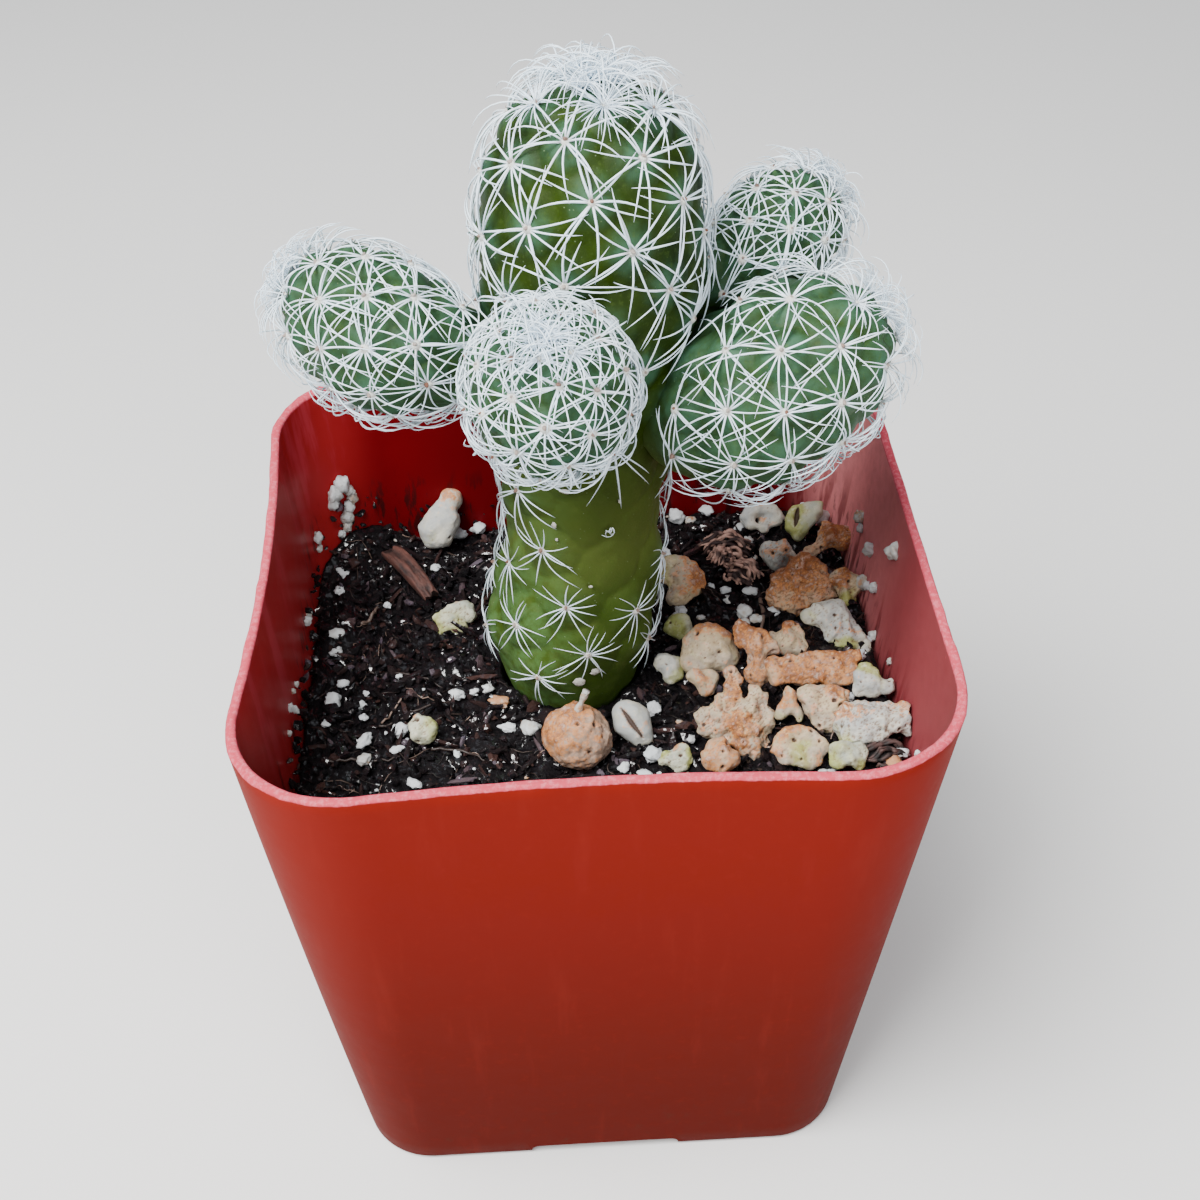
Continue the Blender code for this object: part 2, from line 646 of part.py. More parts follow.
def lumpy(directions, seed, roughness):
    """Radius factor of a lumpy grain: a few soft waves over the sphere."""
    draw = np.random.default_rng(seed)
    waves = draw.normal(0.0, LUMP_FREQUENCY, (LUMP_WAVES, 3))
    starts = draw.uniform(0.0, 2 * math.pi, LUMP_WAVES)
    return 1 + roughness * np.sin(directions @ waves.T + starts).sum(axis=1)


def grain_mesh(grain, seed):
    """A lumpy grain about its own centre, fitted to its width, depth and height."""
    bm = bmesh.new()
    bmesh.ops.create_icosphere(bm, subdivisions=2, radius=1.0)
    directions = np.array([v.co[:] for v in bm.verts])
    faces = [[v.index for v in f.verts] for f in bm.faces]
    bm.free()
    points = directions * lumpy(directions, seed, grain.roughness)[:, None]
    low, high = points.min(axis=0), points.max(axis=0)
    points = (points - (low + high) / 2) / (high - low) * np.array(grain.size) * MM
    turn = np.array(Matrix.Rotation(math.radians(grain.turn), 3, "Z"))
    points = points @ turn.T + np.array((*grain.place, 0.0)) * (MM, MM, 1)
    return new_object(grain.name, points, faces, grain.slot)


def seat(item, support):
    """Lower a piece from above until it lies a gap above what carries it."""
    item.data.transform(Matrix.Translation((0, 0, DROP_HEIGHT)))
    under = surface_tree(*support)
    over = surface_tree(item)
    drops = []
    for vertex in item.data.vertices:
        hit = under.ray_cast(vertex.co, Vector((0, 0, -1)))[0]
        if hit is not None:
            drops.append(vertex.co.z - hit.z)
    for other in support:
        for vertex in other.data.vertices:
            hit = over.ray_cast(vertex.co, Vector((0, 0, 1)))[0]
            if hit is not None:
                drops.append(hit.z - vertex.co.z)
    item.data.transform(Matrix.Translation((0, 0, 1.2 * GAP - min(drops))))
    while surface_tree(item).overlap(under):
        item.data.transform(Matrix.Translation((0, 0, 0.5 * GAP)))


def make_bark_chip():
    """A split flake of bark, thinner at its ends."""
    width, length, thickness = BARK_CHIP_SIZE
    bm = bmesh.new()
    bmesh.ops.create_grid(bm, x_segments=3, y_segments=6, size=0.5)
    extruded = bmesh.ops.extrude_face_region(bm, geom=bm.faces[:])
    raised = [v for v in extruded["geom"] if isinstance(v, bmesh.types.BMVert)]
    bmesh.ops.translate(bm, vec=(0, 0, 1.0), verts=raised)
    bmesh.ops.recalc_face_normals(bm, faces=bm.faces)
    for vertex in bm.verts:
        x, y, z = vertex.co
        taper = 1 - BARK_CHIP_TAPER * (2 * y) ** 2
        bow = BARK_CHIP_BOW * (1 - (2 * y) ** 2)
        vertex.co = (x * width * (0.8 + 0.3 * y), y * length, thickness * (z * taper + bow))
    mesh = bpy.data.meshes.new("bark_chip")
    bm.to_mesh(mesh)
    bm.free()
    mesh.materials.append(material("bark"))
    place = Matrix.Translation((*BARK_CHIP_PLACE, 0)) @ Matrix.Rotation(BARK_CHIP_TURN, 4, "Z")
    mesh.transform(place)
    chip = bpy.data.objects.new("bark_chip", mesh)
    bpy.context.scene.collection.objects.link(chip)
    return chip


def make_grains(soil):
    """Seat every loose grain and the bark chip on the soil, one after the other."""
    placed = []
    for seed, grain in enumerate(GRANULES):
        made = grain_mesh(grain, seed)
        seat(made, [soil] + placed)
        placed.append(made)
    chip = make_bark_chip()
    seat(chip, [soil] + placed)
    return placed + [chip]


def shade(items):
    """Round surfaces are smooth, and edges over 40 degrees stay sharp."""
    for item in items:
        item.data.shade_smooth()
        item.data.set_sharp_from_angle(angle=math.radians(40.0))


def main():
    """Build the pot, the soil, the grains and the cactus."""
    clear_scene()
    pot = make_pot()
    soil = make_soil()
    grains = make_grains(soil)
    heads = make_cactus(soil, pot, grains)
    shade([pot, soil, *grains, *heads])


main()
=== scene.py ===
"""The looks of a potted thimble cactus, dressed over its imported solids.

Shapes are worked out in millimetres, as whole numpy arrays, and written to Blender in
metres. +Z is up, the pot's front faces -Y, and the origin is the middle of its base.
"""

import logging
import math
from dataclasses import dataclass, field
from enum import Enum
from typing import Any, Callable, Optional, Sequence

import bmesh
import bpy
import numpy as np
from mathutils import Matrix, Vector


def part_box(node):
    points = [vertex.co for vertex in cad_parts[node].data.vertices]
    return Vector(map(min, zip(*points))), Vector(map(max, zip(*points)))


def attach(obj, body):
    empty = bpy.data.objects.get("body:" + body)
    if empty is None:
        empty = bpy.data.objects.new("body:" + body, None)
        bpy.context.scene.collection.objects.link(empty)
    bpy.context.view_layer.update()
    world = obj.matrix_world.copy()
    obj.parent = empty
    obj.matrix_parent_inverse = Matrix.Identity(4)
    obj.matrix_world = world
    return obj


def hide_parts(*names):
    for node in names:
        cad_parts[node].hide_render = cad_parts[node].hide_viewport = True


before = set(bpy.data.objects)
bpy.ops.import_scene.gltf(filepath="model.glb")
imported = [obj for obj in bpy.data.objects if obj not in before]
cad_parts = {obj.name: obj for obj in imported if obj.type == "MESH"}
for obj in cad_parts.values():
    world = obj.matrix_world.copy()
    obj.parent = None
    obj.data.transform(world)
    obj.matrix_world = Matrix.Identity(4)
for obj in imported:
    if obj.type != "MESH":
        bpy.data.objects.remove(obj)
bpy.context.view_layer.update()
LOG = logging.getLogger("potted_cactus")

MM = 0.001
GOLDEN_ANGLE = math.radians(137.508)
UP = np.array((0.0, 0.0, 1.0))
ASKEW = np.array((0.31, 0.45, 0.84))
# The photograph's eye, its directions right, up and near, and how lobes grow with depth behind a near y
PICTURE_EYE = np.array((-3.9, -121.5, 161.1))
PICTURE_AXES = np.array([(1.0, -0.04, 0.0), (0.03, 0.656, 0.754), (-0.03, -0.754, 0.656)])
PICTURE_NEAR = -18.0
PICTURE_SHRINK = 0.0045
# The skin round a grain's lobes: its mesh size, its rounds of smoothing and the lobes' swelling
LOBE_VOXEL = 0.15
LOBE_MELT = 13
LOBE_SWELL = 1.17

Array = np.ndarray
Pair = tuple[float, float]
Triple = tuple[float, float, float]
Rows = tuple[tuple[float, ...], ...]
Colour = Triple
Material = bpy.types.Material
Piece = bpy.types.Object


# Shapes and noise

@dataclass
class Shape:
    """A mesh in the making.

    Args:
        points: one row of x, y and z in millimetres for each point.
        faces: rows of point numbers, counterclockwise seen from outside.
        marks: a number for each point, under a name that finishes read.
        finish_rows: the finish number of each face, or nothing for one finish.
    """

    points: Array
    faces: list[Sequence[int]]
    marks: dict[str, Array] = field(default_factory=dict)
    finish_rows: Optional[Array] = None

    @staticmethod
    def joined(shapes: Sequence["Shape"]) -> "Shape":
        """Several shapes as one, with the marks of the first."""
        faces: list[Sequence[int]] = []
        first = 0
        for shape in shapes:
            faces.extend((np.asarray(face) + first).tolist() for face in shape.faces)
            first += len(shape.points)
        marks = {name: np.concatenate([shape.marks[name] for shape in shapes]) for name in shapes[0].marks}
        return Shape(np.vstack([shape.points for shape in shapes]), faces, marks)


def unit(rows: Array) -> Array:
    """Rows of vectors, each made one unit long."""
    return rows / np.maximum(np.linalg.norm(rows, axis=-1, keepdims=True), 1e-12)


def smooth_step(values: Array, low: float, high: float) -> Array:
    """The cubic 3t^2 - 2t^3 of how far each value has gone from low to high."""
    t = np.clip((values - low) / (high - low), 0.0, 1.0)
    return t * t * (3 - 2 * t)


def cell_draw(cells: Array, seed: int) -> Array:
    """A fixed random number from 0 to 1 for each whole-number cell.

    The three cell numbers are multiplied by large primes, added, and mixed by shifts.
    """
    mixed = cells[..., 0] * 374761393 + cells[..., 1] * 668265263 + cells[..., 2] * 1440662683
    mixed = (mixed + seed * 974634777) & 0xFFFFFFFF
    mixed = ((mixed ^ (mixed >> 13)) * 1274126177) & 0xFFFFFFFF
    return ((mixed ^ (mixed >> 16)) & 0xFFFFFF) / 0xFFFFFF


def value_noise(points: Array, seed: int = 0) -> Array:
    """Smooth noise from 0 to 1: the draws at the eight corners of a cell, blended by smooth steps."""
    low = np.floor(points)
    share = points - low
    share = share * share * (3 - 2 * share)
    cells = low.astype(np.int64)
    total = np.zeros(points.shape[:-1])
    for corner in np.ndindex(2, 2, 2):
        offset = np.array(corner)
        weight = np.where(offset == 1, share, 1 - share).prod(axis=-1)
        total += weight * cell_draw(cells + offset, seed)
    return total


def cloud_noise(points: Array, octaves: int = 4, seed: int = 0) -> Array:
    """Value noise from 0 to 1 summed over octaves, each of twice the pace and half the height."""
    total = np.zeros(points.shape[:-1])
    weight, pace, whole = 1.0, 1.0, 0.0
    for octave in range(octaves):
        total += weight * value_noise(points * pace, seed + octave)
        whole += weight
        weight, pace = weight / 2, pace * 2.03
    return total / whole


def cell_gap(points: Array, seed: int = 0) -> Array:
    """Distance to the nearest of random spots, one in each cell, cut off at 1."""
    low = np.floor(points).astype(np.int64)
    best = np.ones(points.shape[:-1])
    for corner in np.ndindex(3, 3, 3):
        cells = low + np.array(corner) - 1
        spots = cells + np.stack([cell_draw(cells, seed + axis) for axis in (11, 12, 13)], axis=-1)
        best = np.minimum(best, np.linalg.norm(points - spots, axis=-1))
    return best


def smooth_line(rows: Sequence[Sequence[float]], steps: int = 12) -> Array:
    """Catmull-Rom curve through rows of numbers, with its ends kept."""
    knots = np.asarray(rows, float)
    knots = np.vstack([2 * knots[0] - knots[1], knots, 2 * knots[-1] - knots[-2]])
    t = np.linspace(0.0, 1.0, steps, endpoint=False)[:, None]
    spans = [0.5 * (2 * b + (c - a) * t + (2 * a - 5 * b + 4 * c - d) * t**2 + (3 * b - a - 3 * c + d) * t**3)
             for a, b, c, d in zip(knots, knots[1:], knots[2:], knots[3:])]
    return np.vstack(spans + [knots[-2]])


def spread_evenly(rows: Array, count: int) -> Array:
    """The same line with count rows evenly spaced by length."""
    travel = np.concatenate([[0.0], np.cumsum(np.linalg.norm(np.diff(rows, axis=0), axis=1))])
    wanted = np.linspace(0.0, travel[-1], count)
    return np.column_stack([np.interp(wanted, travel, column) for column in rows.T])


def ring_faces(rings: int, count: int, capped: bool = False) -> list[list[int]]:
    """Quads between closed rings of count points, facing out when the rings climb, with caps if asked."""
    ring, spot = np.meshgrid(np.arange(rings - 1), np.arange(count), indexing="ij")
    low, after = ring * count, (spot + 1) % count
    quads = np.stack([low + spot, low + after, low + count + after, low + count + spot], axis=-1)
    caps = [list(range(count))[::-1], list(range((rings - 1) * count, rings * count))] if capped else []
    return quads.reshape(-1, 4).tolist() + caps


def tubes(paths: Array, radii: Array, up: Array, sides: int) -> Shape:
    """Round tubes along many paths at once, closed at both ends.

    Each ring is a regular polygon across the path's direction, started from the cross
    product of that direction and the path's up vector.

    Args:
        paths: paths by points by 3.
        radii: paths by points.
        up: one vector for each path, not along it.
        sides: corners of each ring.

    Returns:
        All tubes, marked with share, the way along, and draw, one number a tube.
    """
    count, length = paths.shape[:2]
    run = unit(np.gradient(paths, axis=1))
    side = unit(np.cross(run, up[:, None]))
    rise = np.cross(side, run)
    angles = np.arange(sides) * math.tau / sides
    ring = np.cos(angles)[:, None] * side[:, :, None] - np.sin(angles)[:, None] * rise[:, :, None]
    points = (paths[:, :, None] + radii[:, :, None, None] * ring).reshape(-1, 3)
    one = np.array(ring_faces(length, sides))
    starts = np.arange(count)[:, None, None] * length * sides
    faces = (one[None] + starts).reshape(-1, 4).tolist()
    root = np.arange(sides)[::-1]
    tip = (length - 1) * sides + np.arange(sides)
    faces += np.concatenate([root + starts[:, 0], tip + starts[:, 0]]).tolist()
    share = np.broadcast_to(np.linspace(0, 1, length)[None, :, None], (count, length, sides)).reshape(-1)
    draw = np.repeat(np.random.default_rng(count).uniform(0, 1, count), length * sides)
    return Shape(points, faces, {"share": share, "draw": draw})


def ball(level: int) -> tuple[Array, Array]:
    """Directions and triangles of an icosahedron split level times."""
    bm = bmesh.new()
    bmesh.ops.create_icosphere(bm, subdivisions=level, radius=1.0)
    directions = np.array([vertex.co[:] for vertex in bm.verts])
    faces = np.array([[vertex.index for vertex in face.verts] for face in bm.faces])
    bm.free()
    return directions, faces


def vertex_normals(points: Array, faces: Array) -> Array:
    """Outward unit normals at the points of a four-sided mesh, from the cross product of its diagonals."""
    across = np.cross(points[faces[:, 2]] - points[faces[:, 0]], points[faces[:, 3]] - points[faces[:, 1]])
    return unit(np.column_stack([np.bincount(faces.reshape(-1), np.repeat(across[:, axis], 4), len(points))
                                 for axis in range(3)]))


def neighbour_mean(points: Array, faces: Array) -> Array:
    """The mean of the neighbours of each point of a closed four-sided mesh."""
    a, b = faces.reshape(-1), np.roll(faces, -1, axis=1).reshape(-1)
    around = np.maximum(np.bincount(a, minlength=len(points)), 1)
    return np.column_stack([np.bincount(a, points[b, axis], len(points)) / around for axis in range(3)])


def turned(points: Array, angle: float) -> Array:
    """Points turned about +Z by an angle in radians."""
    c, s = math.cos(angle), math.sin(angle)
    return points @ np.array([[c, s, 0.0], [-s, c, 0.0], [0.0, 0.0, 1.0]])


def rays(normals: Array, angles: Array) -> Array:
    """Unit vectors square to the normals: cosine times one such direction plus sine times the next."""
    first = unit(np.cross(normals, ASKEW))
    return np.cos(angles)[:, None] * first + np.sin(angles)[:, None] * np.cross(normals, first)


def in_mm(box: Any) -> tuple[Array, Array]:
    """A box's low and high corners, from metres to millimetres."""
    low, high = (np.array(corner) / MM for corner in box)
    return low, high


def placed(name: str, data: Any) -> Piece:
    """A new object for a mesh, a lamp or a camera, linked to the scene."""
    made = bpy.data.objects.new(name, data)
    bpy.context.scene.collection.objects.link(made)
    return made


# Shader expressions

def operator(operation: str, reflected: bool = False) -> Callable[["Value", Any], "Value"]:
    """A method that joins a value and another by a Math node, in their order or the other way round."""
    def method(value: "Value", other: Any) -> "Value":
        """Add the Math node."""
        first, second = (other, value) if reflected else (value, other)
        return value.shader.node("ShaderNodeMath", {"operation": operation}, {0: first, 1: second})
    return method


class Value:
    """A shader socket that takes part in sums and products."""

    __add__, __radd__ = operator("ADD"), operator("ADD", reflected=True)
    __sub__, __rsub__ = operator("SUBTRACT"), operator("SUBTRACT", reflected=True)
    __mul__, __rmul__ = operator("MULTIPLY"), operator("MULTIPLY", reflected=True)

    def __init__(self, shader: "Shader", socket: Any) -> None:
        """Keep the socket and the shader that it belongs to."""
        self.shader = shader
        self.socket = socket

    def step(self, low: float, high: float) -> "Value":
        """A smooth step from 0 at low to 1 at high, which may be the smaller one."""
        return self.shader.node("ShaderNodeMapRange", {"interpolation_type": "SMOOTHSTEP"},
                                {"Value": self, "From Min": low, "From Max": high})


class Shader:
    """A material built from expressions."""

    def __init__(self, name: str) -> None:
        """Start an empty node material."""
        self.material = bpy.data.materials.new(name)
        self.material.use_nodes = True
        self.tree = self.material.node_tree
        self.tree.nodes.clear()

    def node(self, kind: str, settings: dict[str, Any], sockets: dict[Any, Any], output: Any = 0) -> Value:
        """Add a node.

        Args:
            kind: the node's type.
            settings: its properties, with ramp stops under "stops".
            sockets: values or links by input name or number.
            output: name or number of an output.

        Returns:
            That output.
        """
        made = self.tree.nodes.new(kind)
        for name, setting in settings.items():
            if name == "stops":
                ramp = made.color_ramp
                while len(ramp.elements) < len(setting):
                    ramp.elements.new(0.5)
                for element, (place, colour) in zip(ramp.elements, setting):
                    element.position = place
                    element.color = (*colour, 1.0)
            else:
                setattr(made, name, setting)
        for name, given in sockets.items():
            if isinstance(given, Value):
                self.tree.links.new(given.socket, made.inputs[name])
            elif isinstance(given, tuple) and len(made.inputs[name].default_value) == 4:
                made.inputs[name].default_value = (*given, 1.0)
            else:
                made.inputs[name].default_value = given
        return Value(self, made.outputs[output])

    def place(self, stretch: Triple = (1.0, 1.0, 1.0)) -> Value:
        """Object coordinates in millimetres, stretched along each axis."""
        spot = self.node("ShaderNodeTexCoord", {}, {}, "Object")
        return self.node("ShaderNodeVectorMath", {"operation": "MULTIPLY"},
                         {0: spot, 1: tuple(share / MM for share in stretch)})

    def axis(self, name: str) -> Value:
        """One of the object coordinates X, Y or Z in millimetres."""
        return self.node("ShaderNodeSeparateXYZ", {}, {0: self.place()}, name)

    def mark(self, name: str) -> Value:
        """A number kept on the mesh."""
        return self.node("ShaderNodeAttribute", {"attribute_name": name}, {}, "Fac")

    def noise(self, scale: float, detail: float = 3.0, roughness: float = 0.55,
              place: Optional[Value] = None) -> Value:
        """Cloud noise of so many waves to a millimetre."""
        return self.node("ShaderNodeTexNoise", {"noise_dimensions": "3D"},
                         {"Vector": place or self.place(), "Scale": scale, "Detail": detail,
                          "Roughness": roughness}, "Fac")

    def cells(self, scale: float) -> Value:
        """Distance to the nearest of random spots, so many to a millimetre."""
        return self.node("ShaderNodeTexVoronoi", {"feature": "F1"}, {"Vector": self.place(), "Scale": scale},
                         "Distance")

    def mix(self, share: Any, first: Any, second: Any) -> Value:
        """Go from the first colour to the second by a share from 0 to 1."""
        return self.node("ShaderNodeMix", {"data_type": "RGBA", "clamp_factor": True},
                         {0: share, 6: first, 7: second}, 2)

    def layers(self, base: Any, *coats: tuple[Any, Any]) -> Any:
        """Coats mixed over a base colour in turn, each given as its share and its colour."""
        for share, colour in coats:
            base = self.mix(share, base, colour)
        return base

    def ramp(self, share: Value, stops: Sequence[tuple[float, Colour]]) -> Value:
        """A colour for each share from 0 to 1."""
        return self.node("ShaderNodeValToRGB", {"stops": stops}, {"Fac": share}, "Color")

    def finish(self, colour: Any, roughness: Any, height: Optional[Value] = None, depth: float = 0.05,
               strength: float = 1.0, **fixed: Any) -> Material:
        """Close the material with a Principled shader.

        Args:
            colour: base colour.
            roughness: roughness.
            height: a bump pattern from 0 to 1, if any.
            depth: its height in millimetres.
            strength: share of it that shows.
            fixed: other inputs, the same all over, with _ for spaces.

        Returns:
            The material.
        """
        sockets = {"Base Color": colour, "Roughness": roughness}
        sockets.update({name.replace("_", " "): value for name, value in fixed.items()})
        if height is not None:
            sockets["Normal"] = self.node("ShaderNodeBump", {}, {"Strength": strength, "Distance": depth * MM,
                                                                 "Height": height}, "Normal")
        surface = self.node("ShaderNodeBsdfPrincipled", {}, sockets)
        end = self.tree.nodes.new("ShaderNodeOutputMaterial")
        self.tree.links.new(surface.socket, end.inputs["Surface"])
        return self.material


def add_piece(name: str, shape: Shape, finishes: Sequence[Material],
              nodes: Sequence[str] = (), sharp: Optional[float] = None,
              flat: bool = False) -> Piece:
    """Write a shape to Blender, make it ride on the part, and hide the solids that it stands for.

    Args:
        name: the piece's name.
        shape: its points and faces.
        finishes: its materials, picked by the shape's finish rows.
        nodes: the solids that it stands for.
        sharp: the angle in degrees past which an edge stays sharp.
        flat: True for facets.

    Returns:
        The new object.
    """
    mesh = bpy.data.meshes.new(name)
    mesh.from_pydata((shape.points * MM).tolist(), [], shape.faces)
    for finish in finishes:
        mesh.materials.append(finish)
    if shape.finish_rows is not None:
        mesh.polygons.foreach_set("material_index", shape.finish_rows.astype(np.int32))
    for mark, numbers in shape.marks.items():
        layer = mesh.attributes.new(mark, "FLOAT", "POINT")
        layer.data.foreach_set("value", np.ascontiguousarray(numbers, np.float32))
    mesh.update()
    if not flat:
        mesh.shade_smooth()
        if sharp is not None:
            mesh.set_sharp_from_angle(angle=math.radians(sharp))
    piece = placed(name, mesh)
    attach(piece, "root")
    if nodes:
        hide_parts(*nodes)
    LOG.info("%s: %d faces", name, len(mesh.polygons))
    return piece


def sinking(weight: float, radius: Colour, scale: float) -> dict[str, Any]:
    """Settings for light that sinks into a finish, with the scale in millimetres."""
    return {"Subsurface_Weight": weight, "Subsurface_Radius": radius, "Subsurface_Scale": scale * MM}


# Finishes

@dataclass(frozen=True)
class FleshFinish:
    """Waxy green skin: bluish on tubercles, olive where old, pale on its bare patch, with painted light there
    and a painted highlight on its left side.
    """

    deep: Colour = (0.008, 0.021, 0.0012)
    fresh: Colour = (0.021, 0.042, 0.0015)
    bloom: Colour = (0.050, 0.132, 0.080)
    olive: Colour = (0.050, 0.088, 0.012)
    # Paler colour of the bare patch: partly its own colour, partly painted light against the front head's
    # shadow
    bare: Colour = (0.115, 0.150, 0.032)
    # Painted highlight on the stem's left side, where the window's light falls
    painted_light: Colour = (0.085, 0.185, 0.060)
    scuff: Colour = (0.100, 0.125, 0.030)
    speck: Colour = (0.20, 0.28, 0.14)

    def material(self) -> Material:
        """Build the material, which reads the marks tip and age."""
        s = Shader("cactus_flesh")
        patch, cloud, age, height = s.noise(0.16, 3.0), s.noise(0.75, 3.0), s.mark("age"), s.axis("Z")
        dots = s.cells(1.5).step(0.12, 0.06) * s.noise(0.6).step(0.46, 0.58)
        green = s.layers(
            self.deep,
            (patch.step(0.32, 0.68), self.fresh),
            ((s.mark("tip") * (0.25 + cloud)).step(0.20, 0.92) * 0.75, self.bloom),
            (age * (0.45 + patch), self.olive),
            # Bare patch: its own paler skin, made paler still as painted light under the front head
            (height.step(56.0, 63.0) * height.step(80.0, 73.0) * age * 0.9, self.bare),
            # Painted highlight: paler green over the left side of the old stem
            (s.axis("X").step(0.5, -6.0) * age * cloud.step(0.30, 0.62) * 0.7, self.painted_light),
            (dots * 0.6, self.speck),
            (s.noise(1.9, 5.0, 0.7).step(0.52, 0.70) * 0.45, self.olive),
            (s.noise(0.5, 5.0, 0.7).step(0.50, 0.72) * age * 0.4, self.scuff))
        return s.finish(green, 0.42 + cloud * 0.22, s.noise(3.5, 4.0, 0.6) + dots * 0.5, depth=0.05,
                        strength=0.6, Specular_IOR_Level=0.12, **sinking(0.08, (0.5, 1.0, 0.25), 0.5))


@dataclass(frozen=True)
class SpineFinish:
    """Chalky white spines, a little horn-coloured at the root."""

    white: Colour = (0.73, 0.87, 0.99)
    horn: Colour = (0.62, 0.58, 0.50)

    def material(self) -> Material:
        """Build the material, which reads the marks share and draw."""
        s = Shader("cactus_spine")
        aged = s.mark("share").step(0.16, 0.0) * 0.5 + s.mark("draw").step(0.90, 1.0) * 0.3
        return s.finish(s.mix(aged, self.white, self.horn), 0.45, **sinking(0.3, (1.0, 1.0, 1.0), 0.25))


@dataclass(frozen=True)
class WoolFinish:
    """Felt of an areole, with a brown spot where its spines once sat."""

    felt: Colour = (0.66, 0.67, 0.62)
    spot: Colour = (0.15, 0.055, 0.030)

    def material(self) -> Material:
        """Build the material, which reads the mark spot."""
        s = Shader("areole_wool")
        shade = s.mix(s.mark("spot"), self.felt, self.spot)
        return s.finish(shade, 0.95, s.noise(9.0, 3.0), depth=0.12)


@dataclass(frozen=True)
class PotFinish:
    """Thin moulded plastic, with dusting, water marks, painted light and shade, and a lip paled by wear and a
    painted sheen.
    """

    name: str
    body: Colour
    # Painted shade: the darker red that the walls fade to towards the bottom
    low: Colour
    # Pale film: real dusting, also used as painted light on the outer left side and the inner right wall
    dust_and_light: Colour
    # Pink of the lip, also laid on as painted sheen, painted highlight streaks and scratches
    lip: Colour = (0.50, 0.062, 0.094)
    # Paler pink for patches of painted highlight on the lip
    flash: Colour = (0.78, 0.30, 0.35)
    # Painted light: a lighter red over the left inner wall, which lies in shade
    left_wall_painted_light: Colour = (0.370, 0.018, 0.022)
    # Painted light: a light red for the back of the right inner wall
    painted_light: Colour = (0.90, 0.320, 0.330)
    damp: Colour = (0.014, 0.004, 0.004)
    grime: Colour = (0.05, 0.018, 0.012)
    lip_height: float = 61.80
    inside: bool = False

    def material(self) -> Material:
        """Build the material from the height on the pot and streaks that run down it."""
        s = Shader(self.name)
        height, side = s.axis("Z"), s.axis("X")
        streak = s.noise(0.45, 4.0, 0.6, s.place((1.0, 1.0, 0.10)))
        scuff = s.noise(0.9, 5.0, 0.65)
        if self.inside:
            # The right inner wall: real dusting, with painted light that grows stronger towards the back
            dust_and_light_mask = side.step(23.0, 28.5) * (0.60 + scuff * 0.45)
            wet = height.step(55.0, 46.5) * streak.step(0.51, 0.60)
            # Painted highlight: glossy streaks on the left inner wall, in the lip's pink
            pale = side.step(-24.0, -28.0) * streak.step(0.50, 0.62) * height.step(44.0, 56.0)
            drip = s.noise(0.9, 4.0, 0.6, s.place((1.0, 1.0, 0.22))).step(0.54, 0.63)
            scratch = s.noise(2.4, 3.0, 0.6, s.place((1.0, 1.0, 0.35))).step(0.68, 0.76)
            # The first coat paints light over the left inner wall, which lies in shade
            coats = [(side.step(-21.0, -28.0) * 0.75, self.left_wall_painted_light),
                     (dust_and_light_mask * (1.0 - wet * 0.65), s.mix(s.axis("Y").step(-4.0, 18.0), self.dust_and_light, self.painted_light)),
                     (pale * 0.30, self.lip),
                     (drip * height.step(51.5, 46.0) * 0.75, self.damp),
                     (scratch * side.step(20.0, 28.0) * 0.35, self.lip)]
            rough, shine = 0.34 + dust_and_light_mask * 0.30, 0.06
        else:
            # Real dusting in patches, plus a painted sheen over the left side of the outside
            dust_and_sheen = scuff.step(0.50, 0.80) * 0.10 + side.step(-18.0, -31.0) * 0.30
            dirt = s.noise(0.6, 5.0, 0.65).step(0.58, 0.72) * height.step(16.0, 2.0)
            coats = [(dust_and_sheen + streak.step(0.55, 0.75) * 0.10, self.dust_and_light), (dirt * 0.35, self.grime)]
            rough, shine = 0.46 + scuff * 0.16, 0.02
        # The lip is paled partly by wear and partly by a painted sheen, with patches of painted highlight
        lip_wear_and_sheen = (height + s.noise(1.2, 3.0) * 0.25).step(self.lip_height, self.lip_height + 0.16)
        lip_highlight = lip_wear_and_sheen * s.noise(2.6, 4.0, 0.7).step(0.44, 0.66)
        # Painted shade: the walls darken towards the bottom
        colour = s.layers(s.mix(height.step(4.0, 70.0), self.low, self.body), *coats,
                          (lip_wear_and_sheen * 0.9, self.lip), (lip_highlight * 0.30, self.flash))
        bump = s.noise(0.11, 2.0) * 0.75 + scuff * 0.03 + s.noise(7.0, 2.0) * 0.02
        return s.finish(colour, rough, bump, depth=0.35, strength=0.5, Specular_IOR_Level=shine,
                        **sinking(0.03, (1.0, 0.25, 0.15), 0.6))


@dataclass(frozen=True)
class SoilFinish:
    """Damp peat: near-black, with brown bark fines and wet glints."""

    name: str
    black: Colour = (0.0034, 0.0024, 0.0032)
    brown: Colour = (0.016, 0.0095, 0.0100)
    rust: Colour = (0.046, 0.021, 0.017)
    grey: Colour = (0.105, 0.085, 0.105)

    def material(self) -> Material:
        """Build the material, which reads the mark draw for each crumb's own shade."""
        s = Shader(self.name)
        shade = s.ramp(s.mark("draw"), [(0.0, self.black), (0.52, self.black), (0.82, self.brown),
                                        (0.95, self.rust), (1.0, self.grey)])
        colour = s.mix(s.noise(1.6, 4.0, 0.6).step(0.50, 0.8) * 0.4, shade, self.brown)
        return s.finish(colour, 0.55, s.noise(5.0, 4.0, 0.7), depth=0.18, Specular_IOR_Level=0.12,
                        Coat_Weight=s.noise(1.5, 4.0, 0.7).step(0.50, 0.60), Coat_Roughness=0.14,
                        Coat_IOR=1.8, Coat_Tint=(0.82, 0.84, 1.0))


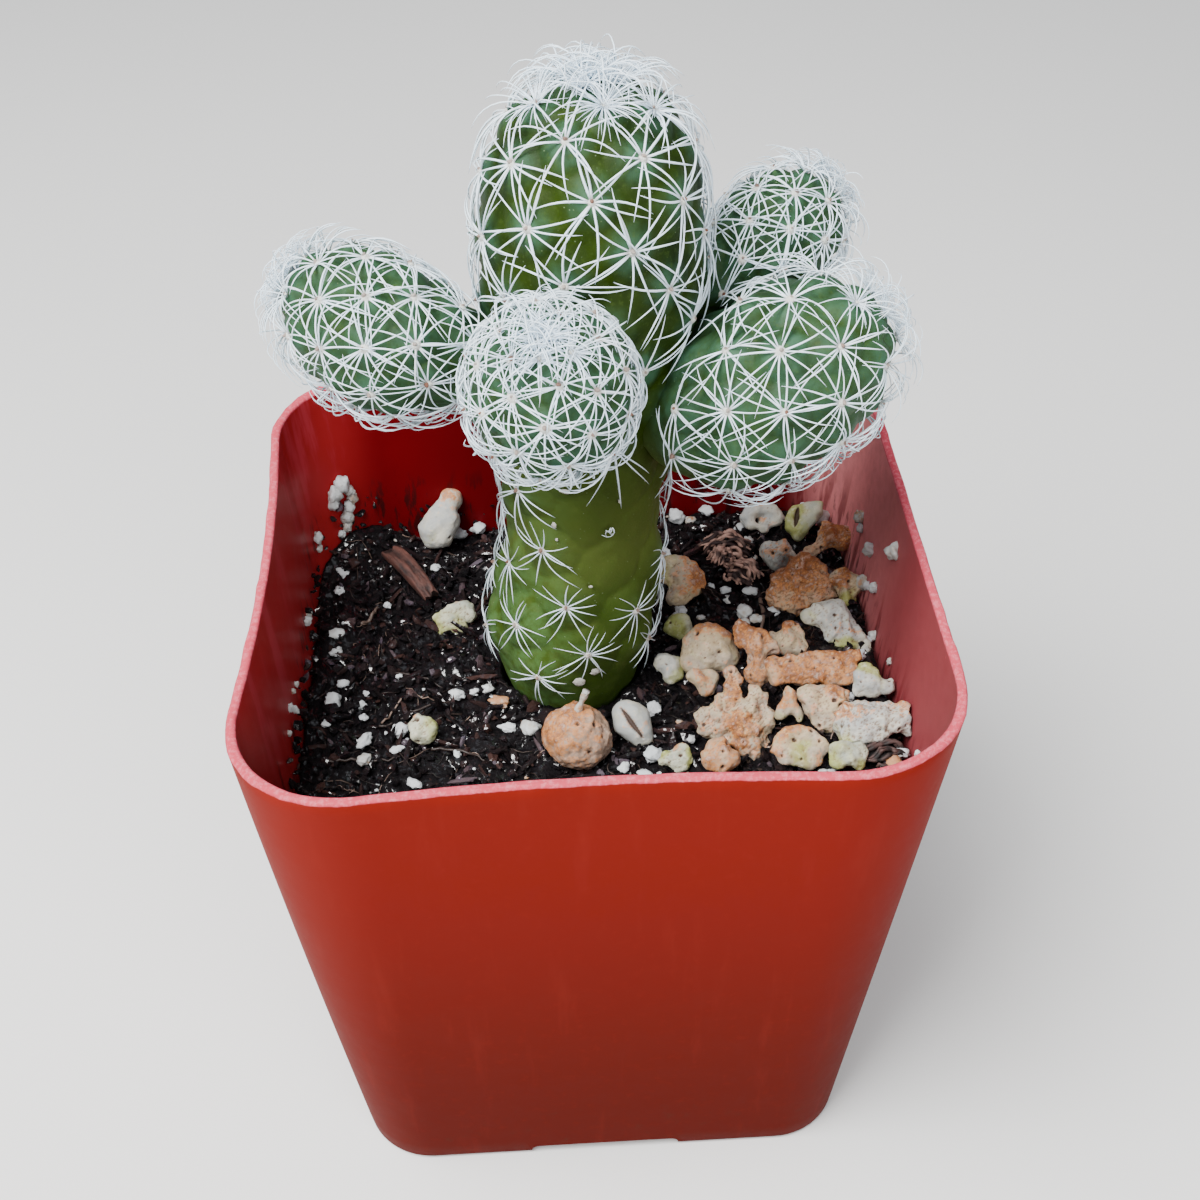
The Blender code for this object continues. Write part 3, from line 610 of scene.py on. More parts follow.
@dataclass(frozen=True)
class FibreFinish:
    """Rootlets and splinters, from dark brown to straw."""

    dark: Colour = (0.018, 0.010, 0.008)
    straw: Colour = (0.28, 0.19, 0.15)

    def material(self) -> Material:
        """Build the material, which reads the mark draw."""
        s = Shader("rootlet")
        colour = s.mix(s.mark("draw").step(0.62, 1.0), self.dark, self.straw)
        return s.finish(colour, 0.5, s.noise(4.0, 3.0), depth=0.05)


class GrainKind(Enum):
    """The sorts of loose grain."""

    TOAST = "toast"
    ORANGE = "orange"
    TAN = "tan"
    WHITE = "white"
    GREEN = "green"


@dataclass(frozen=True)
class GrainFinish:
    """Crusty puffed grain: pale body, toasted and greenish patches, painted shade in pits and creases, and a
    powdery skin with faint painted highlights on ridges.
    """

    name: str
    pale: Colour
    cold: Colour
    heat: float
    warm: Colour = (0.50, 0.195, 0.052)
    burnt: Colour = (0.21, 0.062, 0.015)
    green: Colour = (0.27, 0.29, 0.045)
    # Painted shade in the creases between lobes
    crease_shade: Colour = (0.150, 0.068, 0.032)
    # Painted shade inside the pits and the groove
    pit_shade: Colour = (0.035, 0.016, 0.010)
    # Powdery skin colour, which also lays a faint painted highlight on ridges
    powder_and_highlight: Colour = (0.78, 0.76, 0.70)

    def material(self) -> Material:
        """Build the material, which reads the marks tone, top, pit, crease and ridge."""
        s = Shader(self.name)
        broad, fine, tiny = s.noise(0.42, 3.0), s.noise(1.6, 5.0, 0.65), s.noise(5.0, 3.0)
        tone, ridge = s.mark("tone"), s.mark("ridge")
        heat = tone * 0.80 + broad * 1.3 + fine * 2.4 + s.mark("top") * 0.14 + ridge * 0.40 - 2.26 + self.heat
        colour = s.layers(
            self.pale,
            (broad.step(0.38, 0.62) * 0.75, self.cold),
            ((fine * 1.1 - 0.55 - tone).step(0.10, 0.75) * 0.8, self.green),
            (heat.step(0.02, 0.34) * 0.9, self.warm),
            ((heat + tiny * 0.3).step(0.44, 0.80) * 0.85, self.burnt),
            # Random powdery patches, plus a faint painted highlight on the ridges
            ((fine * 0.9 + ridge * 0.06).step(0.42, 0.70) * 0.40, self.powder_and_highlight),
            # Painted shade in the creases
            (s.mark("crease") * 0.85, self.crease_shade),
            # Painted shade in the pits and the groove
            (s.mark("pit").step(0.25, 0.85) * 0.92, self.pit_shade))
        return s.finish(colour, 0.55 + fine * 0.35, fine * 0.6 + tiny * 0.35, depth=0.13, strength=0.9,
                        Specular_IOR_Level=0.4, **sinking(0.06, (1.0, 0.7, 0.5), 0.4))


GRAIN_FINISHES = {
    GrainKind.TOAST: GrainFinish("toasted_grain", (0.45, 0.35, 0.215), (0.33, 0.285, 0.24), 0.20),
    GrainKind.ORANGE: GrainFinish("orange_grain", (0.43, 0.29, 0.18), (0.35, 0.255, 0.21), 0.27),
    GrainKind.TAN: GrainFinish("tan_grain", (0.33, 0.225, 0.160), (0.28, 0.200, 0.165), 0.20),
    GrainKind.WHITE: GrainFinish("white_grain", (0.47, 0.455, 0.385), (0.31, 0.335, 0.345), 0.0),
    GrainKind.GREEN: GrainFinish("greenish_grain", (0.43, 0.435, 0.32), (0.30, 0.335, 0.29), 0.0),
}


@dataclass(frozen=True)
class PerliteFinish:
    """Off-white puffed bits, some cream, some dull."""

    white: Colour = (0.56, 0.59, 0.61)
    shade: Colour = (0.36, 0.33, 0.27)
    rust: Colour = (0.44, 0.19, 0.07)

    def material(self) -> Material:
        """Build the material, which reads the mark draw."""
        s = Shader("perlite")
        cloud, draw = s.noise(1.7, 4.0), s.mark("draw")
        colour = s.layers(self.white, ((cloud * 0.7 + draw * 0.6).step(0.45, 0.95), self.shade),
                          ((cloud + draw).step(1.10, 1.45) * 0.9, self.rust))
        return s.finish(colour, 0.6, s.noise(5.0, 4.0, 0.65), depth=0.12)


@dataclass(frozen=True)
class BarkFinish:
    """Red-brown bark with a fibrous grain along it."""

    name: str
    dark: Colour
    light: Colour

    def material(self) -> Material:
        """Build the material, which reads the mark grain."""
        s = Shader(self.name)
        lines = s.mark("grain")
        cloud = s.noise(1.1, 4.0)
        colour = s.mix((lines * 0.7 + cloud * 0.5).step(0.35, 0.85), self.dark, self.light)
        return s.finish(colour, 0.72, lines * 0.7 + s.noise(4.0, 4.0) * 0.5, depth=0.12)


# Cactus

@dataclass(frozen=True)
class Head:
    """One body of the cactus: a round form along a centre line, with a spiral of areoles.

    Args:
        name: the solid's name.
        centres: ring centres from root to top.
        radii: their radii.
        along: the growing direction.
        side: a direction square to it, where angles start.
        cell: skin area of one areole.
        young: how strongly the youngest areoles crowd at the top.
        phase: angle of the first areole, in degrees.
        hand: +1 or -1, the way the spiral turns.
        spine: length of a spine.
        lowest: distance from the root end to the first areole.
        columns: points round the skin.
        rows: rings of the skin.
        old: share of the length, from the root, that has turned olive.
        relief: height of a tubercle.
        share: a tubercle's reach as a share of its cell's side.
        groove: depth of the grooves between tubercles.
        wrinkle: height of the fine wrinkles.
    """

    name: str
    centres: Array
    radii: Array
    along: Array
    side: Array
    cell: float
    young: float
    phase: float
    hand: int
    spine: float
    lowest: float
    columns: int
    rows: int
    old: float
    relief: float = 0.7
    share: float = 0.42
    groove: float = 0.13
    wrinkle: float = 0.16

    @property
    def main(self) -> bool:
        """True for the main stem."""
        return self.name == "main_stem"

    def travel(self) -> Array:
        """Distance of each ring centre along the growing direction."""
        return (self.centres - self.centres[0]) @ self.along

    def middle_at(self, travel: Array) -> Array:
        """The centre line's points at distances along the growing direction."""
        return np.stack([np.interp(travel, self.travel(), column) for column in self.centres.T], axis=-1)

    def level_at(self, height: float) -> Pair:
        """The middle's x and the radius at a height, for a body that stands upright."""
        high = self.centres[:, 2]
        return float(np.interp(height, high, self.centres[:, 0])), float(np.interp(height, high, self.radii))

    def directions(self, angles: Array) -> Array:
        """Unit vectors square to the growing direction: cosine times side plus sine times across."""
        across = np.cross(self.along, self.side)
        return np.cos(angles)[..., None] * self.side + np.sin(angles)[..., None] * across

    def areoles(self) -> tuple[Array, Array, Array]:
        """Places of the areoles.

        Counted from the top, the k-th one stands where the skin above it holds
        k * k / (k + young) cells, at the angle phase + hand * k * golden angle.

        Returns:
            The numbers k, the points on the smooth form, and its normals there.
        """
        rise, radius = self.travel(), self.radii
        down, shrink = rise[::-1], radius[::-1]
        skin = np.hypot(np.diff(down), np.diff(shrink)) * math.pi * (shrink[1:] + shrink[:-1])
        cells = np.concatenate([[0.0], np.cumsum(skin)]) / self.cell
        k = np.arange(400) + 0.5
        wanted = k * k / (k + self.young)
        k, wanted = k[wanted < cells[-1]], wanted[wanted < cells[-1]]
        place = np.interp(wanted, cells, down)
        k, place = k[place > self.lowest], place[place > self.lowest]
        slope = np.interp(place, rise, np.gradient(radius, rise + 1e-6 * np.arange(len(rise))))
        out = self.directions(math.radians(self.phase) + self.hand * k * GOLDEN_ANGLE)
        points = self.middle_at(place) + out * np.interp(place, rise, radius)[:, None]
        return k, points, unit(out - slope[:, None] * self.along)

    def skin_near(self, points: Array) -> tuple[Array, Array, Array]:
        """The smooth form's nearest point to each given point.

        It is the nearest spot of the profile by two numbers: the height along the axis
        and the distance from the centre line.

        Returns:
            Nearest points, outward normals, and signed heights over the form.
        """
        rise, radius = self.travel(), self.radii
        high = (points - self.centres[0]) @ self.along
        held = np.clip(high, rise[0], rise[-1])
        offset = points - self.middle_at(held)
        offset = offset - (offset @ self.along)[..., None] * self.along
        away = np.linalg.norm(offset, axis=-1)
        out = offset / np.maximum(away, 1e-9)[..., None]
        nearest = ((high[..., None] - rise) ** 2 + (away[..., None] - radius) ** 2).argmin(axis=-1)
        slope = np.gradient(np.column_stack([rise, radius]), axis=0)
        normal_rise, normal_out = -slope[nearest, 1], slope[nearest, 0]
        size = np.hypot(normal_rise, normal_out)
        normals = out * (normal_out / size)[..., None] + (normal_rise / size)[..., None] * self.along
        rough = self.centres[nearest] + out * radius[nearest][..., None]
        over = ((points - rough) * normals).sum(axis=-1)
        return points - normals * over[..., None], normals, over

    def skin(self, peaks: Array, bare: Array) -> Shape:
        """The skin with a low tubercle under each areole.

        Its relief is a bell over the nearest areole, less a shallow groove where two
        areoles are equally near, with fine wrinkles added.

        Args:
            peaks: the areoles' places.
            bare: True for those without a tubercle.

        Returns:
            A closed shape marked with tip, near a tubercle's top, and age.
        """
        line = spread_evenly(np.column_stack([self.centres, self.radii]), self.rows)
        rise = (line[:, :3] - line[0, :3]) @ self.along
        out = self.directions(np.arange(self.columns) * math.tau / self.columns)
        slope = np.gradient(line[:, 3], rise)[1:-1]
        inner = line[1:-1]
        points = (inner[:, None, :3] + out[None] * inner[:, None, 3:4]).reshape(-1, 3)
        normals = unit(out[None] - slope[:, None, None] * self.along).reshape(-1, 3)
        gaps = np.sqrt(np.maximum((points**2).sum(1)[:, None] + (peaks**2).sum(1) - 2 * points @ peaks.T, 0))
        order = np.argsort(gaps, axis=1)[:, :2]
        near, next_near = np.take_along_axis(gaps, order, axis=1).T
        reach = self.share * math.sqrt(self.cell)
        bell = np.exp(-((near / reach) ** 2)) * np.where(bare[order[:, 0]], 0.25, 1.0)
        groove = np.exp(-(((next_near - near) / (0.35 * reach)) ** 2))
        groove = groove * np.exp(-((near / (2.6 * reach)) ** 2))
        wrinkle = cloud_noise(points * 0.9, 3, 5) - 0.5
        bump = self.relief * (bell - 0.5) - self.groove * groove + self.wrinkle * wrinkle
        points = points + normals * bump[:, None]
        ends = np.vstack([line[0, :3], line[-1, :3] + self.along * 0.5 * self.relief])
        rings, count = self.rows - 2, self.columns
        faces = ring_faces(rings, count)
        first, last = rings * count, (rings - 1) * count
        spot = np.arange(count)
        after = (spot + 1) % count
        faces += np.column_stack([after, spot, np.full(count, first)]).tolist()
        faces += np.column_stack([last + spot, last + after, np.full(count, first + 1)]).tolist()
        share = np.repeat(rise[1:-1] / rise[-1], count)
        age = 1 - smooth_step(share, self.old - 0.28, self.old + 0.22)
        cool = 0.0 if self.main else 0.60
        tip = cool + (1 - cool) * np.append(bell, [0.0, 1.0])
        return Shape(np.vstack([points, ends]), faces, {"tip": tip, "age": np.append(age, [1.0, 0.0])})


@dataclass(frozen=True)
class Cactus:
    """The main stem and its four offset heads, with wool and spines.

    Args:
        stem_line: rows of height, the middle's x, and radius.
        offset_line: rows of the way along a head and its radius there, both as shares.
        stem_spines: spines of the stem's areoles: the fewest, one over the most, and for a young one.
        offset_spines: the same for an offset head.
        flecks: rows of x, z, and half the width and height.
    """

    stem_y: float = 4.8
    stem_line: Rows = (
        (30.0, -1.1, 0.0), (31.2, -1.2, 2.4), (35.0, -1.4, 4.6), (40.0, -1.7, 6.3),
        (45.0, -1.8, 7.6), (51.0, -1.6, 8.3), (57.7, -0.5, 7.7), (63.8, -0.2, 7.3),
        (72.0, 0.3, 8.0), (80.0, 0.7, 9.0), (87.5, 1.1, 9.5), (94.0, 1.1, 9.4),
        (98.5, 1.3, 8.6), (101.5, 1.4, 7.2), (103.5, 1.5, 5.1), (104.6, 1.6, 2.6),
        (104.9, 1.6, 0.0),
    )
    offset_line: Rows = (
        (0.0, 0.0), (0.01, 0.36), (0.10, 0.68), (0.28, 0.94), (0.50, 1.0), (0.70, 0.93),
        (0.86, 0.71), (0.96, 0.40), (1.0, 0.0),
    )
    neck_share: float = 0.35
    neck_sink: float = 1.4
    line_steps: int = 240
    spine_radius: float = 0.100
    offset_slim: float = 0.84
    spine_steps: int = 9
    stem_spines: tuple[int, int, int] = (11, 15, 19)
    offset_spines: tuple[int, int, int] = (13, 17, 15)
    pad_sizes: Pair = (0.34, 0.45)
    knob_sizes: Pair = (0.19, 0.27)
    bristles: int = 60
    crown: int = 9
    tallest: float = 107.35
    ground: float = 47.0
    bare_x: Pair = (-3.4, 8.0)
    bare_z: Pair = (60.5, 75.5)
    curl: Triple = (2.1, -2.6, 66.3)
    flecks: Rows = (
        (-2.4, 70.6, 0.5, 0.22), (-4.0, 66.2, 0.25, 0.35), (-3.7, 64.6, 0.15, 0.15), (0.2, 59.6, 0.2, 0.16),
        (3.6, 68.9, 0.16, 0.2), (-1.2, 47.6, 0.6, 0.5), (0.6, 48.8, 0.5, 0.4),
    )

    def stem(self) -> Head:
        """The main stem."""
        rows = spread_evenly(smooth_line(self.stem_line), self.line_steps)
        centres = np.column_stack([rows[:, 1], np.full(len(rows), self.stem_y), rows[:, 0]])
        return Head("main_stem", centres, np.maximum(rows[:, 2], 0.0), UP, np.array((1.0, 0.0, 0.0)),
                    cell=36.0, young=16.0, phase=21.0, hand=1, spine=5.6,
                    lowest=self.ground - self.stem_line[0][0], columns=210, rows=230, old=0.48)

    def offset(self, stem: Head, name: str, base: Triple, azimuth: float,
               elevation: float, length: float, radius: float, **areoles: Any) -> Head:
        """An offset head, whose neck bends in to the main stem.

        Args:
            stem: the main stem.
            name: the solid's name.
            base: where the head's straight axis starts.
            azimuth: its heading in degrees.
            elevation: its climb in degrees.
            length: its length.
            radius: the head's largest radius.
            areoles: its areole values.

        Returns:
            The head.
        """
        heading, climb = math.radians(azimuth), math.radians(elevation)
        along = np.array((math.cos(heading) * math.cos(climb), math.sin(heading) * math.cos(climb),
                          math.sin(climb)))
        side = unit(np.cross(UP, along))
        line = spread_evenly(smooth_line(self.offset_line) * (length, radius), self.line_steps)
        start = np.array(base)
        x, stem_radius = stem.level_at(base[2])
        axis = np.array([x, self.stem_y, base[2]])
        root = axis + unit(start - axis) * (stem_radius - self.neck_sink)
        bend = np.clip(1 - line[:, 0] / (self.neck_share * length), 0.0, 1.0) ** 2
        centres = start + line[:, :1] * along + bend[:, None] * (root - start)
        return Head(name, centres, np.maximum(line[:, 1], 0.0), along, side, lowest=0.12 * length, **areoles)

    def heads(self) -> list[Head]:
        """All five bodies, the main stem first."""
        stem = self.stem()
        return [
            stem,
            self.offset(stem, "right_head", (7.4, -1.0, 73.1), 0.0, 38.0, 22.4, 7.7, cell=23.7, young=4.0,
                        phase=243.0, hand=-1, spine=5.2, columns=132, rows=124, old=0.05),
            self.offset(stem, "front_head", (-2.5, -7.2, 80.6), 262.0, 63.0, 13.6, 6.6, cell=15.7, young=16.0,
                        phase=245.0, hand=-1, spine=4.4, columns=120, rows=100, old=0.12),
            self.offset(stem, "left_head", (-10.5, -0.2, 81.1), 157.5, 26.0, 16.7, 6.3, cell=17.2, young=9.0,
                        phase=341.0, hand=1, spine=4.8, columns=120, rows=104, old=0.05),
            self.offset(stem, "rear_head", (12.1, 8.0, 82.6), 32.0, 33.0, 14.6, 5.4, cell=12.4, young=9.0,
                        phase=283.0, hand=1, spine=4.4, columns=110, rows=96, old=0.05),
        ]

    def is_bare(self, head: Head, points: Array) -> Array:
        """True where the stem has lost its areoles, on its smooth patch under the front head."""
        x, y, z = points.T
        (low_x, high_x), (low_z, high_z) = self.bare_x, self.bare_z
        return (head.main & (x > low_x) & (x < high_x) & (z > low_z) & (z < high_z) & (y < self.stem_y - 2.0))

    def domes(self, head: Head, points: Array, normals: Array, size: Array, high: float, ahead: float,
              spot: Array) -> Shape:
        """Small closed domes on the skin, whose height is a cosine of the distance from the middle.

        Args:
            head: the body that carries them.
            points: their places.
            normals: skin normals there.
            size: their radii.
            high: height as a share of the radius.
            ahead: how far each is moved to the head's top.
            spot: how brown each one is.

        Returns:
            All domes.
        """
        rings, count = 5, 10
        share = np.linspace(1.0, 0.2, rings)[:, None]
        turn = np.arange(count) * math.tau / count
        flat = np.stack([share * np.cos(turn), share * np.sin(turn), share + 0 * turn], -1).reshape(-1, 3)
        towards = unit(head.along - normals * (normals @ head.along)[:, None] + 1e-6)
        across = np.cross(normals, towards)
        rough = 1 + 0.22 * (value_noise(np.column_stack([flat[:, :2] * 3, np.zeros(len(flat))]) + 9) - 0.5)
        local_up = high * np.cos(flat[:, 2] * math.pi / 2) - 0.12
        rows = ((points + towards * ahead)[:, None] + size[:, None, None] * (
            flat[None, :, 0:1] * rough[None, :, None] * towards[:, None]
            + flat[None, :, 1:2] * rough[None, :, None] * across[:, None]
            + local_up[None, :, None] * normals[:, None]))
        one = ring_faces(rings, count, capped=True)
        faces = [(np.array(face) + i * rings * count).tolist() for i in range(len(points)) for face in one]
        return Shape(rows.reshape(-1, 3), faces, {"spot": np.repeat(spot, len(flat))})

    def wool(self, head: Head, k: Array, points: Array, normals: Array) -> Shape:
        """A pad of felt on each areole, with a small brown knob on the side of the head's top."""
        draw = np.random.default_rng(len(k) + 7)
        size = np.where(k < self.crown, *self.pad_sizes) * draw.uniform(0.85, 1.15, len(k))
        felt = self.domes(head, points, normals, size, 0.62, 0.0, draw.uniform(0.0, 0.12, len(k)))
        old = k >= 0.6 * self.crown
        size = draw.uniform(*self.knob_sizes, old.sum())
        brown = draw.uniform(0.55, 1.0, old.sum())
        knob = self.domes(head, points[old], normals[old], size, 1.9, 0.13, brown)
        return Shape.joined([felt, knob])

    def spines(self, head: Head, heads: Sequence[Head], k: Array, points: Array, normals: Array,
               soil: "Soil") -> Shape:
        """Curved radial spines on every areole.

        A spine runs out along a ray from beside the middle of its areole. At each step
        it is set over the nearest skin, at a height that rises quickly and then levels
        off, so that it follows the body, with a slight sideways sway. Under an offset
        head it stands further off and curls back.

        Args:
            head: the body that carries them.
            heads: all bodies, which the spines keep out of.
            k: areole numbers from the top.
            points: areole places.
            normals: skin normals there.
            soil: the soil, which the spines stay over.

        Returns:
            All spines of the head.
        """
        draw = np.random.default_rng(sum(map(ord, head.name)))
        low, high, young_count = self.stem_spines if head.main else self.offset_spines
        each = np.where(k < self.crown, young_count, draw.integers(low, high, len(k)))
        owner = np.repeat(np.arange(len(k)), each)
        number = np.concatenate([np.arange(n) for n in each])
        lot = len(owner)
        young = np.clip(k[owner] / (1.5 * self.crown), 0.0, 1.0)
        angle = (number / each[owner] * math.tau + (k * GOLDEN_ANGLE)[owner]
                 + draw.normal(0.0, 0.09, lot) + 0.08 * np.where(number % 2, 1.0, -1.0))
        ray = rays(normals[owner], angle)
        across = np.cross(normals[owner], ray)
        upper = smooth_step(points[owner, 2], 60.0, 76.0)
        length = head.spine * draw.uniform(0.80, 1.12, lot) * (0.74 + 0.26 * young)
        if head.main:
            length = length * (0.62 + 0.38 * upper)
        t = np.linspace(0.0, 1.0, self.spine_steps)
        sway = (draw.normal(0.0, 0.20 - 0.08 * upper) + 0.12 * np.where(number % 4 < 2, 1.0, -1.0)) * length
        run = 0.22 + t[None] * length[:, None]
        path = (points[owner][:, None] + ray[:, None] * run[..., None]
                + across[:, None] * (sway[:, None] * t[None] ** 2)[..., None]
                - head.along * (0.13 * length[:, None] * t[None] ** 2)[..., None])
        spots, outs, over = head.skin_near(path)
        lift = draw.uniform(0.05, 0.17, lot) + 0.62 * (1 - young) * draw.uniform(0.7, 1.25, lot)
        if not head.main:
            lift = lift + 0.22 * smooth_step(-normals[owner, 2], -0.1, 0.7) * draw.uniform(0.2, 1.2, lot)
        rise = 0.34 + length[:, None] * lift[:, None] * (t[None] * (2.6 - 2.0 * t[None]))
        past = smooth_step(over, 0.3, 2.2)
        hug = spots + outs * rise[..., None]
        free = path + normals[owner][:, None] * rise[..., None]
        blend = np.clip(past * (1 - young[:, None]), 0.0, 1.0)[..., None]
        path = hug * (1 - blend) + free * blend
        path[:, 0] = points[owner] + ray * 0.20 - normals[owner] * 0.05
        for _ in range(3):
            path[:, 1:-1] = 0.25 * path[:, :-2] + 0.5 * path[:, 1:-1] + 0.25 * path[:, 2:]
        self.press_down(path)
        keep = np.ones(lot, bool)
        for other in heads:
            if other.name != head.name:
                keep &= (other.skin_near(path[:, 2:])[2] > 0.12).all(axis=1)
        keep &= (path[:, 2:, 2] > soil.height(path[:, 2:, 0], path[:, 2:, 1])).all(axis=1)
        thick = self.spine_radius * (1.0 if head.main else self.offset_slim)
        radii = thick * draw.uniform(0.80, 1.15, lot)[:, None] * (1.05 - 0.30 * t - 0.62 * t**4)[None]
        radii = radii * (0.75 + 0.25 * young)[:, None] * (0.72 + 0.28 * upper)[:, None]
        return tubes(path[keep], radii[keep], normals[owner][keep], 4)

    def press_down(self, path: Array) -> None:
        """Lower each line over its first point where it would be taller than the plant."""
        low = path[:, :1, 2]
        room = np.maximum(self.tallest - low, 0.2)
        high = np.maximum((path[..., 2] - low).max(axis=1, keepdims=True), 1e-6)
        path[..., 2] = low + (path[..., 2] - low) * np.minimum(1.0, room / high)

    def hairs(self, head: Head, k: Array, points: Array, normals: Array) -> Shape:
        """Fine bristles that stand up in a dense brush over the young areoles of the crown."""
        draw = np.random.default_rng(sum(map(ord, head.name)) + 1)
        reach, most = (1.0, self.bristles) if head.main else (0.55, self.bristles // 2)
        chosen = np.flatnonzero(k < reach * self.crown)
        owner = np.repeat(chosen, np.where(k[chosen] < 0.6 * reach * self.crown, most, int(0.55 * most)))
        lot = len(owner)
        ray = rays(normals[owner], draw.uniform(0, math.tau, lot))
        t = np.linspace(0.0, 1.0, 6)
        young = 1 - np.clip(k[owner] / (reach * self.crown), 0.0, 1.0)
        length = draw.uniform(1.6, 3.7, lot) * (0.80 + 0.20 * young)
        climb = draw.uniform(0.10, 0.75, lot) + 0.50 * young * draw.uniform(0.3, 1.0, lot)
        if not head.main:
            length, climb = 0.85 * length, 0.65 * climb
        run = 0.12 + length[:, None] * (t + 0.25 * t**2) * np.cos(climb)[:, None]
        rise = 0.1 + length[:, None] * np.sin(climb)[:, None] * (t - 0.45 * t**2)
        path = (points[owner][:, None] + ray[:, None] * run[..., None]
                + normals[owner][:, None] * rise[..., None])
        path += draw.normal(0, 0.11, (lot, 1, 3)) * length[:, None, None] * (t**2)[None, :, None]
        self.press_down(path)
        radii = draw.uniform(0.045, 0.080, (lot, 1)) * (1 - 0.75 * t**2)
        return tubes(path, radii, normals[owner], 3)

    def scars(self, stem: Head, finish: Material, felt: Material) -> None:
        """A dried bundle of curled spines and a few pale flecks on the bare patch of the stem."""
        draw = np.random.default_rng(41)
        turn = np.linspace(0.2, 2.9, 4)
        t = np.linspace(0, 1, 7)
        spread = turn[:, None] + 2.4 * t[None]
        reach = (0.10 + 1.0 * t)[None] * np.array([[1.2], [0.7], [1.1], [0.8]])
        flat = np.stack([reach * np.cos(spread) * 0.8, 0 * spread, -reach * np.abs(np.sin(spread))], -1)
        spots, outs, _ = stem.skin_near(flat + self.curl)
        path = spots + outs * (0.34 + 0.25 * np.sin(t * math.pi))[None, :, None]
        curls = tubes(path, np.broadcast_to(0.06 * (1.1 - 0.7 * t), path.shape[:2]), outs[:, 0], 5)
        add_piece("main_stem_curl", curls, [finish], ["main_stem"])
        directions, faces = ball(2)
        flecks = []
        for x, z, wide, high in self.flecks:
            spot, out, _ = stem.skin_near(np.array([[x, self.stem_y - 9.0, z]]))
            side = unit(np.cross(UP, out))
            rows = (directions[:, 0:1] * wide * side + directions[:, 2:3] * high * UP
                    + directions[:, 1:2] * 0.12 * out)
            rows = rows * (1 + 0.25 * draw.uniform(-1, 1, (len(directions), 1)))
            flecks.append(Shape(spot + out * 0.06 + rows, faces.tolist(), {"spot": np.full(len(rows), 0.25)}))
        add_piece("main_stem_scars", Shape.joined(flecks), [felt], ["main_stem"])

    def build(self, soil: "Soil") -> None:
        """Build and dress every head."""
        flesh, spine, felt = FleshFinish().material(), SpineFinish().material(), WoolFinish().material()
        heads = self.heads()
        for head in heads:
            k, places, normals = head.areoles()
            bare = self.is_bare(head, places)
            add_piece(head.name + "_skin", head.skin(places, bare), [flesh], [head.name])
            hidden = np.zeros(len(k), bool)
            for other in heads:
                if other.name != head.name:
                    hidden |= other.skin_near(places)[2] < 0.9
            keep = ~bare & ~hidden
            k, places, normals = k[keep], places[keep], normals[keep]
            places = places + normals * 0.5 * head.relief
            for part, shape, finish in (("wool", self.wool(head, k, places, normals), felt),
                                        ("spines", self.spines(head, heads, k, places, normals, soil), spine),
                                        ("hairs", self.hairs(head, k, places, normals), spine)):
                add_piece(f"{head.name}_{part}", shape, [finish], [head.name])
        self.scars(heads[0], spine, felt)


# Pot

